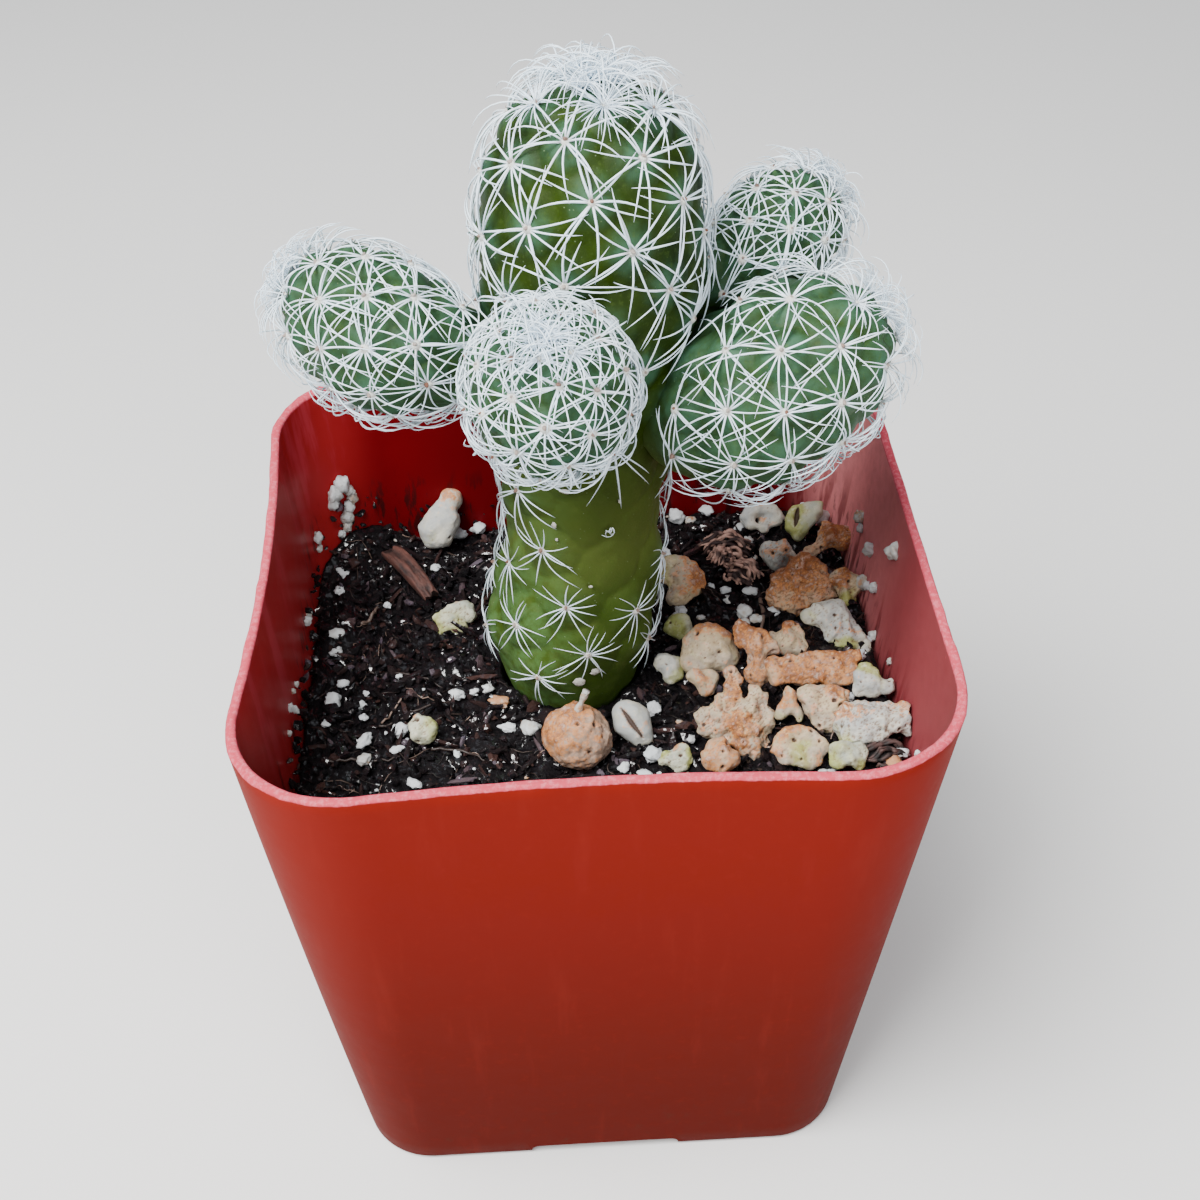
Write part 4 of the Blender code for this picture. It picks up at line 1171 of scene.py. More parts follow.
@dataclass(frozen=True)
class Pot:
    """Thin square nursery pot with round corners and sides that bend in at the rim."""

    height: float = 62.1
    rim_half: float = 32.0
    rim_corner: float = 12.5
    base_half: float = 25.2
    base_corner: float = 7.2
    wall: float = 0.9
    floor: float = 1.0
    foot_edge: float = 0.5
    channel_width: float = 15.5
    channel_height: float = 1.35
    channel_round: float = 0.8
    drain_radii: Pair = (4.0, 3.0)
    drain_reach: float = 16.5
    pull_left: float = 2.1
    pull_depth: float = 2.0
    lip_round: float = 0.28
    flash: float = 0.16
    side_steps: int = 34
    corner_steps: int = 16
    levels: int = 40

    def shift(self) -> float:
        """How far the pot is moved along X so that its rim is centred."""
        share = (self.rim_half - self.rim_corner) / self.rim_half
        return -0.5 * self.pull_left * math.cos(math.pi / 2 * share)

    def section(self, level: Any) -> tuple[Any, Any]:
        """Half the width and the corner radius, which both grow evenly with the share of the height."""
        return (self.base_half + (self.rim_half - self.base_half) * level,
                self.base_corner + (self.rim_corner - self.base_corner) * level)

    def outline(self, height: float, inset: float = 0.0) -> Array:
        """Rounded square at a height, as x and y rows.

        The left, front and back sides are pulled in by a cosine across their width,
        times the square of the share of the height.
        """
        level = min(max(height / self.height, 0.0), 1.0)
        half, corner = self.section(level)
        reach = half - corner
        share = np.linspace(-1.0, 1.0, self.side_steps, endpoint=False)
        arc = np.linspace(0.0, math.pi / 2, self.corner_steps, endpoint=False)
        across = np.concatenate([np.full(len(share), half - inset), reach + (corner - inset) * np.cos(arc)])
        along = np.concatenate([reach * share, reach + (corner - inset) * np.sin(arc)])
        rows = np.vstack([np.column_stack([across * c - along * s, across * s + along * c])
                          for c, s in ((1, 0), (0, 1), (-1, 0), (0, -1))])
        pull = np.cos(math.pi / 2 * np.clip(rows / half, -1, 1)) * level**2
        x = rows[:, 0] + np.where(rows[:, 0] < -0.6 * half, self.pull_left * pull[:, 1], 0.0) + self.shift()
        y = rows[:, 1] - np.where(np.abs(rows[:, 1]) > 0.6 * half,
                                  np.sign(rows[:, 1]) * self.pull_depth * pull[:, 0], 0.0)
        return np.column_stack([x, y])

    def ring(self, height: float, inset: float) -> Array:
        """The outline as rows of x, y and z."""
        rows = self.outline(height, inset)
        return np.column_stack([rows, np.full(len(rows), height)])

    def wall_gap(self, x: Array, y: Array, z: Array) -> Array:
        """Distance from points to the inner wall, positive inside, by the rounded box's formula."""
        level = np.clip(z / self.height, 0.0, 1.0)
        half, corner = (size - self.wall for size in self.section(level))
        x = x - self.shift()
        pull_y = self.pull_depth * level**2 * np.cos(math.pi / 2 * np.clip(x / half, -1, 1))
        pull_x = self.pull_left * level**2 * np.cos(math.pi / 2 * np.clip(y / half, -1, 1)) * (x < 0)
        over_x = np.abs(x) + pull_x - (half - corner)
        over_y = np.abs(y) + pull_y - (half - corner)
        outside = np.hypot(np.maximum(over_x, 0), np.maximum(over_y, 0))
        return corner - (outside + np.minimum(np.maximum(over_x, over_y), 0))

    def shell(self) -> Shape:
        """Outer wall, rounded lip with a ragged flash, inner wall and floor, as rings of points."""
        straight = np.linspace(0.0, 1.0, self.levels) ** 0.9
        turn = np.linspace(0.0, math.pi / 2, 6)
        top = self.height - self.lip_round
        outer = [(0.0, self.foot_edge), (0.18, 0.18), (self.foot_edge, 0.02)]
        outer += [(self.foot_edge + (top - self.foot_edge) * share, 0.0) for share in straight[1:]]
        outer += [(top + self.lip_round * math.sin(a), self.lip_round * (1 - math.cos(a))) for a in turn[1:]]
        inner = [(top + self.lip_round * math.cos(a), self.wall - self.lip_round * (1 - math.sin(a)))
                 for a in turn[:-1]]
        inner += [(self.floor + (top - self.floor) * share, self.wall) for share in straight[::-1]]
        rings = [self.ring(height, inset) for height, inset in outer + inner]
        points, count = np.vstack(rings), len(rings[0])
        away = unit((points - (self.shift(), 0.0, 0.0)) * (1, 1, 0))
        edge = np.exp(-(((points[:, 2] - self.height + 0.12) / 0.22) ** 2))
        weight = np.repeat([1.0] * len(outer) + [0.35] * len(inner), count)
        ragged = smooth_step(cloud_noise(points * (0.55, 0.55, 0.0), 4, 3), 0.42, 0.72)
        points = points + away * (edge * weight * (self.flash * ragged - 0.14))[:, None]
        points[:, 2] -= edge * 0.10 * (1 - cloud_noise(points * (0.16, 0.16, 0.0), 3, 8))
        faces = ring_faces(len(rings), count, capped=True)
        inside = np.zeros(len(faces))
        inside[(len(outer) + 2) * count:] = 1
        inside[-2] = 0
        return Shape(points, faces, finish_rows=inside)

    def bars(self, width: float, bottom: float, top: float, reach: float) -> list[Piece]:
        """Two crossed bars with rounded top edges, to add or cut."""
        made = []
        for turn in (0.0, math.pi / 2):
            bm = bmesh.new()
            bmesh.ops.create_cube(bm, size=1.0)
            bmesh.ops.scale(bm, vec=(2 * reach, width, top - bottom), verts=bm.verts)
            bmesh.ops.translate(bm, vec=(0, 0, (top + bottom) / 2), verts=bm.verts)
            edges = [e for e in bm.edges if all(v.co.z > top - 0.01 for v in e.verts)
                     and abs(e.verts[0].co.y - e.verts[1].co.y) < 0.01]
            bmesh.ops.bevel(bm, geom=edges, offset=self.channel_round, segments=5, profile=0.5,
                            affect="EDGES")
            bmesh.ops.rotate(bm, cent=(0, 0, 0), matrix=Matrix.Rotation(turn, 3, "Z"), verts=bm.verts)
            made.append(self.tool(bm, (self.shift(), 0, 0)))
        return made

    def drains(self) -> list[Piece]:
        """Round cutters: one in the middle of the floor and one in each arm of the channel."""
        places = [(0.0, 0.0, self.drain_radii[0])]
        places += [(self.drain_reach * round(math.cos(turn)), self.drain_reach * round(math.sin(turn)),
                    self.drain_radii[1]) for turn in np.arange(4) * math.pi / 2]
        made = []
        for x, y, radius in places:
            bm = bmesh.new()
            bmesh.ops.create_cone(bm, cap_ends=True, segments=48, radius1=radius, radius2=radius, depth=6.0)
            made.append(self.tool(bm, (x + self.shift(), y, self.channel_height + self.floor)))
        return made

    def tool(self, bm: bmesh.types.BMesh, place: Triple) -> Piece:
        """Turn a bmesh in millimetres into a loose object."""
        bmesh.ops.translate(bm, vec=place, verts=bm.verts)
        bmesh.ops.scale(bm, vec=(MM, MM, MM), verts=bm.verts)
        mesh = bpy.data.meshes.new("tool")
        bm.to_mesh(mesh)
        bm.free()
        return placed("tool", mesh)

    def combine(self, pot: Piece, operation: str, tools: list[Piece]) -> None:
        """Join or cut the tools by one exact Boolean, apply it, and delete them."""
        group = bpy.data.collections.new("tools")
        bpy.context.scene.collection.children.link(group)
        for tool in tools:
            group.objects.link(tool)
        step = pot.modifiers.new("tools", "BOOLEAN")
        step.operation, step.solver = operation, "EXACT"
        step.operand_type, step.collection = "COLLECTION", group
        graph = bpy.context.evaluated_depsgraph_get()
        pot.data = bpy.data.meshes.new_from_object(pot.evaluated_get(graph))
        pot.modifiers.clear()
        for tool in tools:
            bpy.data.objects.remove(tool, do_unlink=True)
        bpy.data.collections.remove(group)

    def build(self) -> None:
        """Build the pot: shell, ridge, channel and drain holes."""
        outside = PotFinish("pot_outside", (0.172, 0.0092, 0.0052), (0.078, 0.0048, 0.0018),
                            (0.25, 0.026, 0.018))
        inside = PotFinish("pot_inside", (0.118, 0.0022, 0.005), (0.100, 0.002, 0.004),
                           (0.250, 0.050, 0.057), inside=True)
        pot = add_piece("pot_shell", self.shell(), [outside.material(), inside.material()],
                        ["pot"])
        width, high = self.channel_width, self.channel_height
        self.combine(pot, "UNION", self.bars(width + 2 * self.floor, 0.5 * self.floor, high + self.floor,
                                             self.base_half - 0.5 * self.wall))
        self.combine(pot, "DIFFERENCE", self.bars(width, -high, high, self.rim_half))
        self.combine(pot, "DIFFERENCE", self.drains())
        pot.data.shade_smooth()
        pot.data.set_sharp_from_angle(angle=math.radians(38.0))


# Soil

@dataclass(frozen=True)
class Bit:
    """A small loose bit: its middle's x and y, its size in millimetres, and how tan it is."""

    x: float
    y: float
    width: float
    depth: float
    tan: float = 0.0


@dataclass(frozen=True)
class Soil:
    """Peat and bark mix with a heap at the right, crumbs, rootlets and perlite.

    Args:
        pot: the pot that holds it.
        stem: the main stem, which stands in it.
        heap: the heap's middle, x and y, and its spreads along both.
        hollow: a hollow's middle, x and y, and its spread.
        mound: a mound's middle, x and y, and its spread.
        bits: rows for Bit.
        twigs: rows of x, y, heading in degrees, length and radius.
        wall_bits: rows of x, y, z and size of the bits on the pot's walls.
    """

    pot: Pot
    stem: Head
    level: float = 43.4
    bottom: float = 2.75
    roughness: float = 0.35
    heap_height: float = 5.0
    heap: tuple[float, float, float, float] = (26.5, -10.0, 10.0, 16.0)
    hollow_depth: float = 2.2
    hollow: Triple = (-22.5, 24.0, 9.0)
    gap: float = 0.25
    rings: int = 120
    crumbs: int = 7000
    crumb_sizes: Pair = (0.3, 2.4)
    crumb_widths: Pair = (0.35, 0.9)
    crumb_heights: Pair = (0.25, 0.65)
    slivers: int = 900
    sliver_lengths: Pair = (1.5, 3.9)
    sliver_widths: Pair = (0.09, 0.26)
    fibres: int = 520
    fibre_lengths: Pair = (1.2, 4.5)
    fibre_radii: Pair = (0.030, 0.070)
    grit: int = 150
    grit_sizes: Pair = (0.16, 0.62)
    grit_shape: Triple = (1.0, 0.8, 0.7)
    stuck_shape: Triple = (1.1, 1.2, 1.5)
    mound_height: float = 3.0
    mound: Triple = (-25.0, 27.0, 3.6)
    reach: float = 31.0
    stem_ring: int = 60
    stem_room: float = 8.0
    climb: float = 4.2
    climb_reach: float = 1.5
    bits: Rows = (
        (-13.6, 27.2, 2.1, 1.6), (-11.5, 27.6, 2.0, 2.0), (-16.2, 22.2, 1.3, 1.1), (-21.2, 15.7, 1.1, 0.9),
        (-19.4, 3.1, 0.8, 0.7), (-13.5, 0.1, 1.8, 1.5), (-11.8, 0.6, 1.1, 1.0), (-10.4, 0.6, 1.4, 1.3, 0.4),
        (-9.3, -1.4, 1.4, 2.2, 0.9), (-8.6, -5.1, 2.0, 1.0), (-6.2, -5.4, 2.1, 2.2, 0.5),
        (-19.0, -4.8, 1.8, 2.0), (-16.7, -4.9, 2.2, 2.4, 0.3), (-19.2, -7.2, 1.7, 0.9),
        (-13.4, -8.1, 1.2, 0.8), (-10.8, -10.7, 1.2, 0.5), (-17.5, -11.8, 1.9, 1.1), (2.6, -11.6, 1.4, 1.2),
        (-26.3, 22.2, 2.8, 1.8), (-24.1, 23.9, 2.6, 1.4, 0.4), (-23.3, 25.9, 2.6, 1.7, 0.5),
        (-26.6, 18.9, 1.4, 1.3), (-26.2, 10.3, 1.8, 1.5, 0.3), (-25.0, 12.3, 0.8, 0.7),
        (-26.2, 7.7, 1.5, 1.4, 0.3), (-25.0, 2.3, 1.0, 1.4), (-22.6, 1.1, 0.8, 1.0), (-25.9, -0.1, 2.0, 2.1),
        (-26.3, -3.4, 1.1, 1.1), (-23.1, -0.3, 1.3, 1.1), (-22.8, -2.3, 1.0, 1.0), (-22.3, -6.3, 1.4, 2.4),
        (-22.4, -8.6, 1.6, 1.4, 0.6), (18.7, -18.0, 1.1, 1.2), (5.9, 6.6, 1.2, 1.2, 0.4),
        (13.6, 5.6, 1.3, 1.0, 0.5), (16.2, 6.2, 1.6, 1.2, 0.6), (6.0, -12.8, 1.0, 0.9),
        (-4.6, -13.5, 1.1, 0.8), (22.9, -1.9, 1.2, 0.9), (17.0, 23.6, 1.3, 1.0), (26.3, 12.8, 1.2, 1.0),
        (10.0, 10.5, 1.6, 1.3, 0.3), (9.5, 9.5, 1.3, 1.1, 0.1), (17.5, 12.0, 1.7, 1.3, 0.3),
        (16.5, 8.5, 2.2, 1.7, 0.45), (17.5, 7.0, 1.6, 1.2, 0.6), (13.5, 14.0, 1.3, 1.0),
        (15.0, 13.0, 1.3, 1.0), (15.0, 11.0, 1.2, 1.0, 0.5), (12.0, 9.0, 1.0, 0.8, 0.6),
        (19.5, 8.0, 1.4, 1.1), (26.5, -2.0, 1.8, 1.4, 0.1), (28.0, 1.5, 0.9, 0.8), (5.5, -10.0, 2.2, 1.8),
        (4.5, -12.5, 1.7, 1.4, 0.1), (6.0, -4.0, 2.3, 1.7), (18.5, -16.8, 1.3, 1.1),
        (20.5, -17.2, 1.5, 1.2, 0.4), (17.0, -17.0, 1.1, 0.9, 0.1), (13.5, -16.0, 1.3, 1.1, 0.1),
        (9.0, -14.5, 1.0, 0.8), (11.0, 27.0, 2.3, 1.9, 0.1), (12.5, 26.0, 1.4, 1.1, 0.7),
        (14.5, 28.0, 1.9, 1.5, 0.1), (18.0, 24.5, 1.7, 1.3, 0.4), (27.0, 25.0, 2.1, 2.6, 0.5),
        (25.5, 28.0, 1.0, 0.9, 0.1), (27.0, -17.0, 2.4, 1.7, 0.95), (24.8, -18.2, 2.2, 1.6, 0.9),
        (28.0, -15.8, 1.6, 1.2, 0.2), (21.5, -17.0, 1.5, 1.2, 0.1), (28.3, -10.8, 1.1, 0.9, 0.2),
        (18.5, 21.5, 1.5, 1.2, 0.5), (18.5, 18.0, 1.3, 1.0, 0.6), (17.0, 16.5, 1.5, 1.2, 0.8),
        (15.5, -5.5, 1.5, 1.2, 0.2), (20.3, -7.2, 1.3, 1.1, 0.5), (24.5, -8.0, 1.2, 1.0, 0.3),
        (19.8, -12.2, 1.4, 1.1, 0.2), (24.0, 6.2, 1.3, 1.1, 0.6), (13.0, -5.6, 1.2, 1.0, 0.7),
        (9.2, -8.8, 1.2, 1.0, 0.4), (8.4, -6.6, 1.0, 0.8, 0.8), (-4.0, 24.0, 1.5, 1.2, 0.3),
        (2.0, 22.0, 1.8, 1.4, 0.1), (6.5, 25.5, 1.4, 1.1, 0.6), (-8.0, 18.5, 1.2, 1.0, 0.2),
        (4.5, 17.5, 1.4, 1.2, 0.5), (-1.5, 19.0, 1.0, 0.8), (9.0, 20.5, 1.9, 1.5, 0.2),
        (-6.5, 27.0, 1.1, 0.9, 0.7), (1.0, 27.0, 1.3, 1.1, 0.1),
    )
    twigs: Rows = (
        (-21.9, -3.8, 17.0, 9.4, 0.15), (-21.4, -3.4, 38.0, 7.0, 0.11), (-23.4, 5.0, -6.0, 8.6, 0.13),
        (-16.4, -7.6, 8.0, 6.0, 0.16), (-27.0, -8.4, 4.0, 7.5, 0.17), (-12.6, -2.4, -170.0, 5.0, 0.09),
        (-24.0, 12.0, 62.0, 3.6, 0.22), (-6.5, -16.0, 4.0, 8.0, 0.12), (7.2, 3.4, -52.0, 3.6, 0.16),
        (18.4, 11.4, -88.0, 6.4, 0.24), (18.9, -9.6, 12.0, 2.4, 0.12), (-20.0, -14.8, 10.0, 9.0, 0.1),
    )
    wall_bits: Rows = (
        (-26.3, 29.4, 48.6, 1.6), (-27.2, 29.2, 47.6, 1.5), (-25.5, 29.2, 47.9, 1.2),
        (-25.3, 29.0, 46.9, 1.1), (-27.4, 29.0, 46.4, 1.2), (-25.7, 28.9, 45.8, 1.3),
        (-26.1, 28.8, 44.6, 1.3), (-26.2, 28.6, 43.4, 1.1), (-26.9, 28.4, 42.4, 0.8),
        (-29.0, 24.4, 45.2, 1.2), (-28.9, 23.6, 44.3, 0.7), (-29.3, 13.0, 44.2, 0.8),
        (-29.3, 12.0, 43.9, 0.9), (-29.3, 11.0, 44.6, 0.6), (-29.4, 0.7, 45.6, 0.5), (-29.4, -1.3, 46.5, 0.5),
        (-29.4, -3.8, 46.6, 0.7), (-29.3, -2.4, 45.0, 0.7), (-29.4, -6.6, 46.0, 0.5), (29.2, 15.4, 51.7, 1.2),
        (29.3, 14.9, 50.6, 0.8), (29.2, 9.9, 51.9, 1.2), (29.8, 2.9, 57.1, 1.4), (28.8, 9.8, 47.4, 1.3),
        (29.0, 8.4, 48.2, 0.8), (29.1, 5.6, 50.4, 0.9), (28.7, 2.5, 46.6, 0.9), (28.9, -4.0, 49.2, 0.6),
        (28.6, -17.0, 50.0, 0.6),
    )

    def height(self, x: Array, y: Array) -> Array:
        """Height of the ground: its level, plus a bell-shaped heap, less a hollow, plus slow ripples."""
        cx, cy, sx, sy = self.heap
        heap = np.exp(-(((x - cx) / sx) ** 2 + ((y - cy) / sy) ** 2) / 2)
        hollow = self.bell(x, y, *self.hollow)
        ripple = (np.sin(0.61 * x + 1.3 * np.sin(0.37 * y)) * np.cos(0.53 * y - 0.8 * np.sin(0.29 * x))
                  + 0.5 * np.sin(1.31 * x + 0.9 * y) * np.cos(1.17 * y - 0.4 * x))
        return self.level + self.heap_height * heap - self.hollow_depth * hollow + self.roughness * ripple

    @staticmethod
    def bell(x: Array, y: Array, middle_x: float, middle_y: float, spread: float) -> Array:
        """A round bell: e to the minus squared distance over twice the squared spread."""
        return np.exp(-((x - middle_x) ** 2 + (y - middle_y) ** 2) / (2 * spread**2))

    def rough_height(self, x: Array, y: Array) -> Array:
        """The ground with lumps and crumbs of two sizes raised on it."""
        spot = np.stack([x, y, np.zeros_like(x)], axis=-1)
        lumps = cloud_noise(spot * 0.40, 3, 21) - 0.5
        crumbs = 0.5 - 2 * np.abs(cloud_noise(spot * 1.25, 3, 22) - 0.5)
        mound = self.mound_height * self.bell(x, y, *self.mound)
        return self.height(x, y) + mound + 1.7 * lumps + 0.75 * crumbs - 0.45

    def bed(self) -> Shape:
        """The soil's body: up its sides, in across its top, and down round the buried stem."""
        inset, foot = self.pot.wall + self.gap, self.stem.centres[0, 2]
        edge = self.pot.outline(self.level, inset)
        x, radius = self.stem.level_at(self.level)
        centre = np.array([x, self.stem.centres[0, 1]])
        outwards = unit(edge - centre)
        rings = [self.pot.ring(self.bottom + share * (self.level - self.bottom), inset)
                 for share in (0.0, 0.25, 0.5, 0.75)]
        for share in np.linspace(0.0, 1.0, self.rings):
            flat = edge * (1 - share) + (centre + outwards * (radius + 0.1)) * share
            rings.append(np.column_stack([flat, self.rough_height(flat[:, 0], flat[:, 1])]))
        for height in np.linspace(self.level - 1.5, foot - 0.2, 9):
            x, radius = self.stem.level_at(max(height, foot))
            flat = (x, centre[1]) + outwards * (radius + 0.25)
            rings.append(np.column_stack([flat, np.full(len(flat), height)]))
        points = np.vstack(rings)
        tone = smooth_step(cloud_noise(points * 1.2, 3, 31), 0.3, 0.9) * 0.75
        return Shape(points, ring_faces(len(rings), len(edge), capped=True), {"draw": tone})

    def scatter(self, lot: int, seed: int, margin: float) -> tuple[Array, Array]:
        """Random places on the open ground, as x and y.

        Args:
            lot: how many to draw, with those that the stem or the wall then leaves out.
            seed: seed of the draw.
            margin: distance kept from the pot's wall.

        Returns:
            x and y.
        """
        x, y = np.random.default_rng(seed).uniform(-self.reach, self.reach, (2, lot))
        stem_x, stem_y, _ = self.stem.centres[self.stem_ring]
        away = np.hypot(x - stem_x, y - stem_y)
        keep = (away > self.stem_room) & (self.pot.wall_gap(x, y, np.full(lot, self.level)) > margin)
        return x[keep], y[keep]

    def crumb_cloud(self) -> Shape:
        """Faceted crumbs: an icosahedron, shaken, squeezed and turned anew for each one."""
        directions, faces = ball(1)
        x, y = self.scatter(int(self.crumbs * 1.3), 5, 0.35)
        x, y = x[:self.crumbs], y[:self.crumbs]
        lot = len(x)
        draw = np.random.default_rng(6)
        size = np.clip(draw.lognormal(-0.30, 0.45, lot), *self.crumb_sizes)
        squeeze = np.column_stack([np.ones(lot), draw.uniform(*self.crumb_widths, lot),
                                   draw.uniform(*self.crumb_heights, lot)])
        size[:self.slivers] = draw.uniform(*self.sliver_lengths, self.slivers)
        squeeze[:self.slivers, 1:] = draw.uniform(*self.sliver_widths, (self.slivers, 2))
        room = self.pot.wall_gap(x, y, np.full(lot, self.level))
        size = np.minimum(size, np.where(room < self.climb_reach, 1.6, 1.5 * (room + 0.6)))
        shaken = directions[None] * (1 + draw.uniform(-0.30, 0.30, (lot, len(directions), 1)))
        rows = shaken * (0.5 * size[:, None] * squeeze)[:, None]
        turn, lean = draw.uniform(0, math.tau, lot), draw.normal(0, 0.60, lot)
        roll = draw.normal(0, 0.50, lot)
        for axis, angles in enumerate((roll, lean, turn)):
            rows = self.turn_rows(rows, angles, axis)
        z = self.rough_height(x, y) + draw.uniform(-0.10, 0.42, lot) * np.minimum(size, 1.4)
        shade = draw.uniform(0, 1, lot)
        shade[:self.slivers] = 0.30 + 0.70 * shade[:self.slivers]
        spots = np.column_stack([x, y, z])
        gap = self.pot.wall_gap(x, y, z)
        climbing = (gap < self.climb_reach) & (x < 2.0) & (np.arange(lot) >= self.slivers)
        spots[climbing, 2] += self.climb * draw.uniform(0, 1, climbing.sum()) ** 2
        spots[climbing] = self.against_wall(spots[climbing], 0.35)
        points = (rows + spots[:, None]).reshape(-1, 3)
        faces = (faces[None] + np.arange(lot)[:, None, None] * len(directions)).reshape(-1, 3).tolist()
        return Shape(points, faces, {"draw": np.repeat(shade, len(directions))})

    def against_wall(self, spots: Array, wanted: Any) -> Array:
        """Spots brought to a wanted distance inside the pot's wall.

        Those that are too deep slide along the photograph's line of sight first, then all
        move level, away from or to the middle of the pot.
        """
        for _ in range(4):
            towards = unit(PICTURE_EYE - spots)
            gap, ahead = (self.pot.wall_gap(*(spots + towards * step).T) for step in (0.0, 0.1))
            move = (wanted - gap) * 0.1 / np.maximum(ahead - gap, 0.01)
            spots = spots + towards * np.clip(move, 0.0, 1.2)[:, None]
        for _ in range(5):
            gap = self.pot.wall_gap(*spots.T)
            share = (gap - wanted) / np.hypot(spots[:, 0], spots[:, 1])
            spots = spots * np.stack([1 + share, 1 + share, np.ones_like(share)], axis=-1)
        return spots

    @staticmethod
    def turn_rows(rows: Array, angles: Array, axis: int) -> Array:
        """Turn each group of points by its own angle about one axis."""
        a, b = [(1, 2), (2, 0), (0, 1)][axis]
        c, s = np.cos(angles)[:, None], np.sin(angles)[:, None]
        out = rows.copy()
        out[..., a] = rows[..., a] * c - rows[..., b] * s
        out[..., b] = rows[..., a] * s + rows[..., b] * c
        return out

    def strands(self, starts: Array, angles: Array, lengths: Array, radii: Array, seed: int,
                bend: float = 0.6, sides: int = 3, steps: int = 7, lift: float = 0.12) -> Shape:
        """Thin strands that lie on the ground along bent lines, and dip and rise a little.

        Args:
            starts: x and y of each strand's first end.
            angles: first headings.
            lengths: their lengths.
            radii: their radii at the first end.
            seed: seed of the bends.
            bend: how strongly they turn.
            sides: corners of a section.
            steps: points along each.
            lift: mean height over the ground.

        Returns:
            The strands.
        """
        draw = np.random.default_rng(seed)
        lot = len(starts)
        t = np.linspace(0.0, 1.0, steps)
        heading = angles[:, None] + draw.normal(0, bend, (lot, 1)) * t
        heading = heading + draw.normal(0, 0.5 * bend, (lot, 1)) * np.sin(t * 6.0)
        step = lengths[:, None] / (steps - 1)
        x = starts[:, :1] + np.cumsum(np.cos(heading) * step, axis=1)
        y = starts[:, 1:] + np.cumsum(np.sin(heading) * step, axis=1)
        z = self.rough_height(x, y) + lift + draw.uniform(0, 0.35, (lot, 1)) * np.sin(t * math.pi)
        path = np.stack([x, y, z], axis=-1)
        keep = (self.pot.wall_gap(x, y, z) > 0.3).all(axis=1)
        keep &= (self.stem.skin_near(path)[2] > 0.4).all(axis=1)
        thick = np.broadcast_to(radii[:, None] * (1 - 0.45 * t**2), (lot, steps))[keep]
        return tubes(path[keep], thick, np.tile(UP, (keep.sum(), 1)), sides)

    def rootlets(self) -> Shape:
        """Many short fibres, and the few long rootlets and twigs that lie on top."""
        draw = np.random.default_rng(12)
        x, y = self.scatter(self.fibres, 11, 1.0)
        lot = len(x)
        small = self.strands(np.column_stack([x, y]), draw.uniform(0, math.tau, lot),
                             draw.uniform(*self.fibre_lengths, lot), draw.uniform(*self.fibre_radii, lot), 13)
        x, y, heading, length, radius = np.array(self.twigs).T
        long_ones = self.strands(np.column_stack([x, y]), np.radians(heading), length, radius, 14, bend=0.35,
                                 sides=6, steps=14, lift=0.3)
        long_ones.marks["draw"] = 0.55 + 0.3 * long_ones.marks["draw"]
        return Shape.joined([small, long_ones])

    def lump(self, place: Array, size: Array, seed: int, level: int, tan: float) -> Shape:
        """A rough puffed bit: a ball swollen by cloud noise and squeezed to its size."""
        directions, faces = ball(level)
        swell = 0.55 + 0.85 * cloud_noise(directions * 1.7 + seed * 3.1, 3, seed)
        swell = swell * (1.3 - 0.6 * cell_gap(directions * 1.3 + seed * 3.1, seed))
        rows = directions * swell[:, None]
        low, high = rows.min(axis=0), rows.max(axis=0)
        rows = (rows - (low + high) / 2) / (high - low) * size
        return Shape(turned(rows, seed * 1.7) + place, faces.tolist(), {"draw": np.full(len(rows), tan)})

    def perlite(self) -> Shape:
        """White bits on the ground and on the pot's inner walls, and fine white grit."""
        shapes = []
        for seed, bit in enumerate(Bit(*row) for row in self.bits):
            high = 0.62 * math.sqrt(bit.width * bit.depth)
            z = float(self.height(np.float64(bit.x), np.float64(bit.y))) + 0.42 * high
            place, reach = np.array((bit.x, bit.y, z)), 0.4 * max(bit.width, bit.depth)
            if self.pot.wall_gap(*place) < reach:
                place = self.against_wall(place[None], reach)[0]
            shapes.append(self.lump(place, np.array((bit.width, bit.depth, high)), seed + 50, 3, bit.tan))
        stuck = np.array(self.wall_bits)
        places = self.against_wall(stuck[:, :3], 0.25 * stuck[:, 3])
        for seed, (place, size) in enumerate(zip(places, stuck[:, 3])):
            tan = 0.3 + 0.12 * (seed % 4)
            shapes.append(self.lump(place, size * np.array(self.stuck_shape), seed + 150, 3, tan))
        x, y = self.scatter(self.grit, 17, 0.8)
        draw = np.random.default_rng(18)
        z = self.rough_height(x, y)
        sizes = draw.uniform(*self.grit_sizes, len(x)) * np.where(x < 4.0, 1.0, 0.8)
        for i, size in enumerate(sizes):
            place, tan = np.array((x[i], y[i], z[i] + 0.3 * size)), draw.uniform(0, 0.8)
            shapes.append(self.lump(place, size * np.array(self.grit_shape), i + 300, 1, tan))
        return Shape.joined(shapes)

    def build(self) -> None:
        """Build and dress the soil."""
        for name, shape, finish in (("soil_bed", self.bed(), SoilFinish("peat_bed")),
                                    ("soil_crumbs", self.crumb_cloud(), SoilFinish("peat_crumb")),
                                    ("rootlets", self.rootlets(), FibreFinish()),
                                    ("perlite", self.perlite(), PerliteFinish())):
            add_piece(name, shape, [finish.material()], ["soil"], flat=name == "soil_crumbs")


# Loose grains

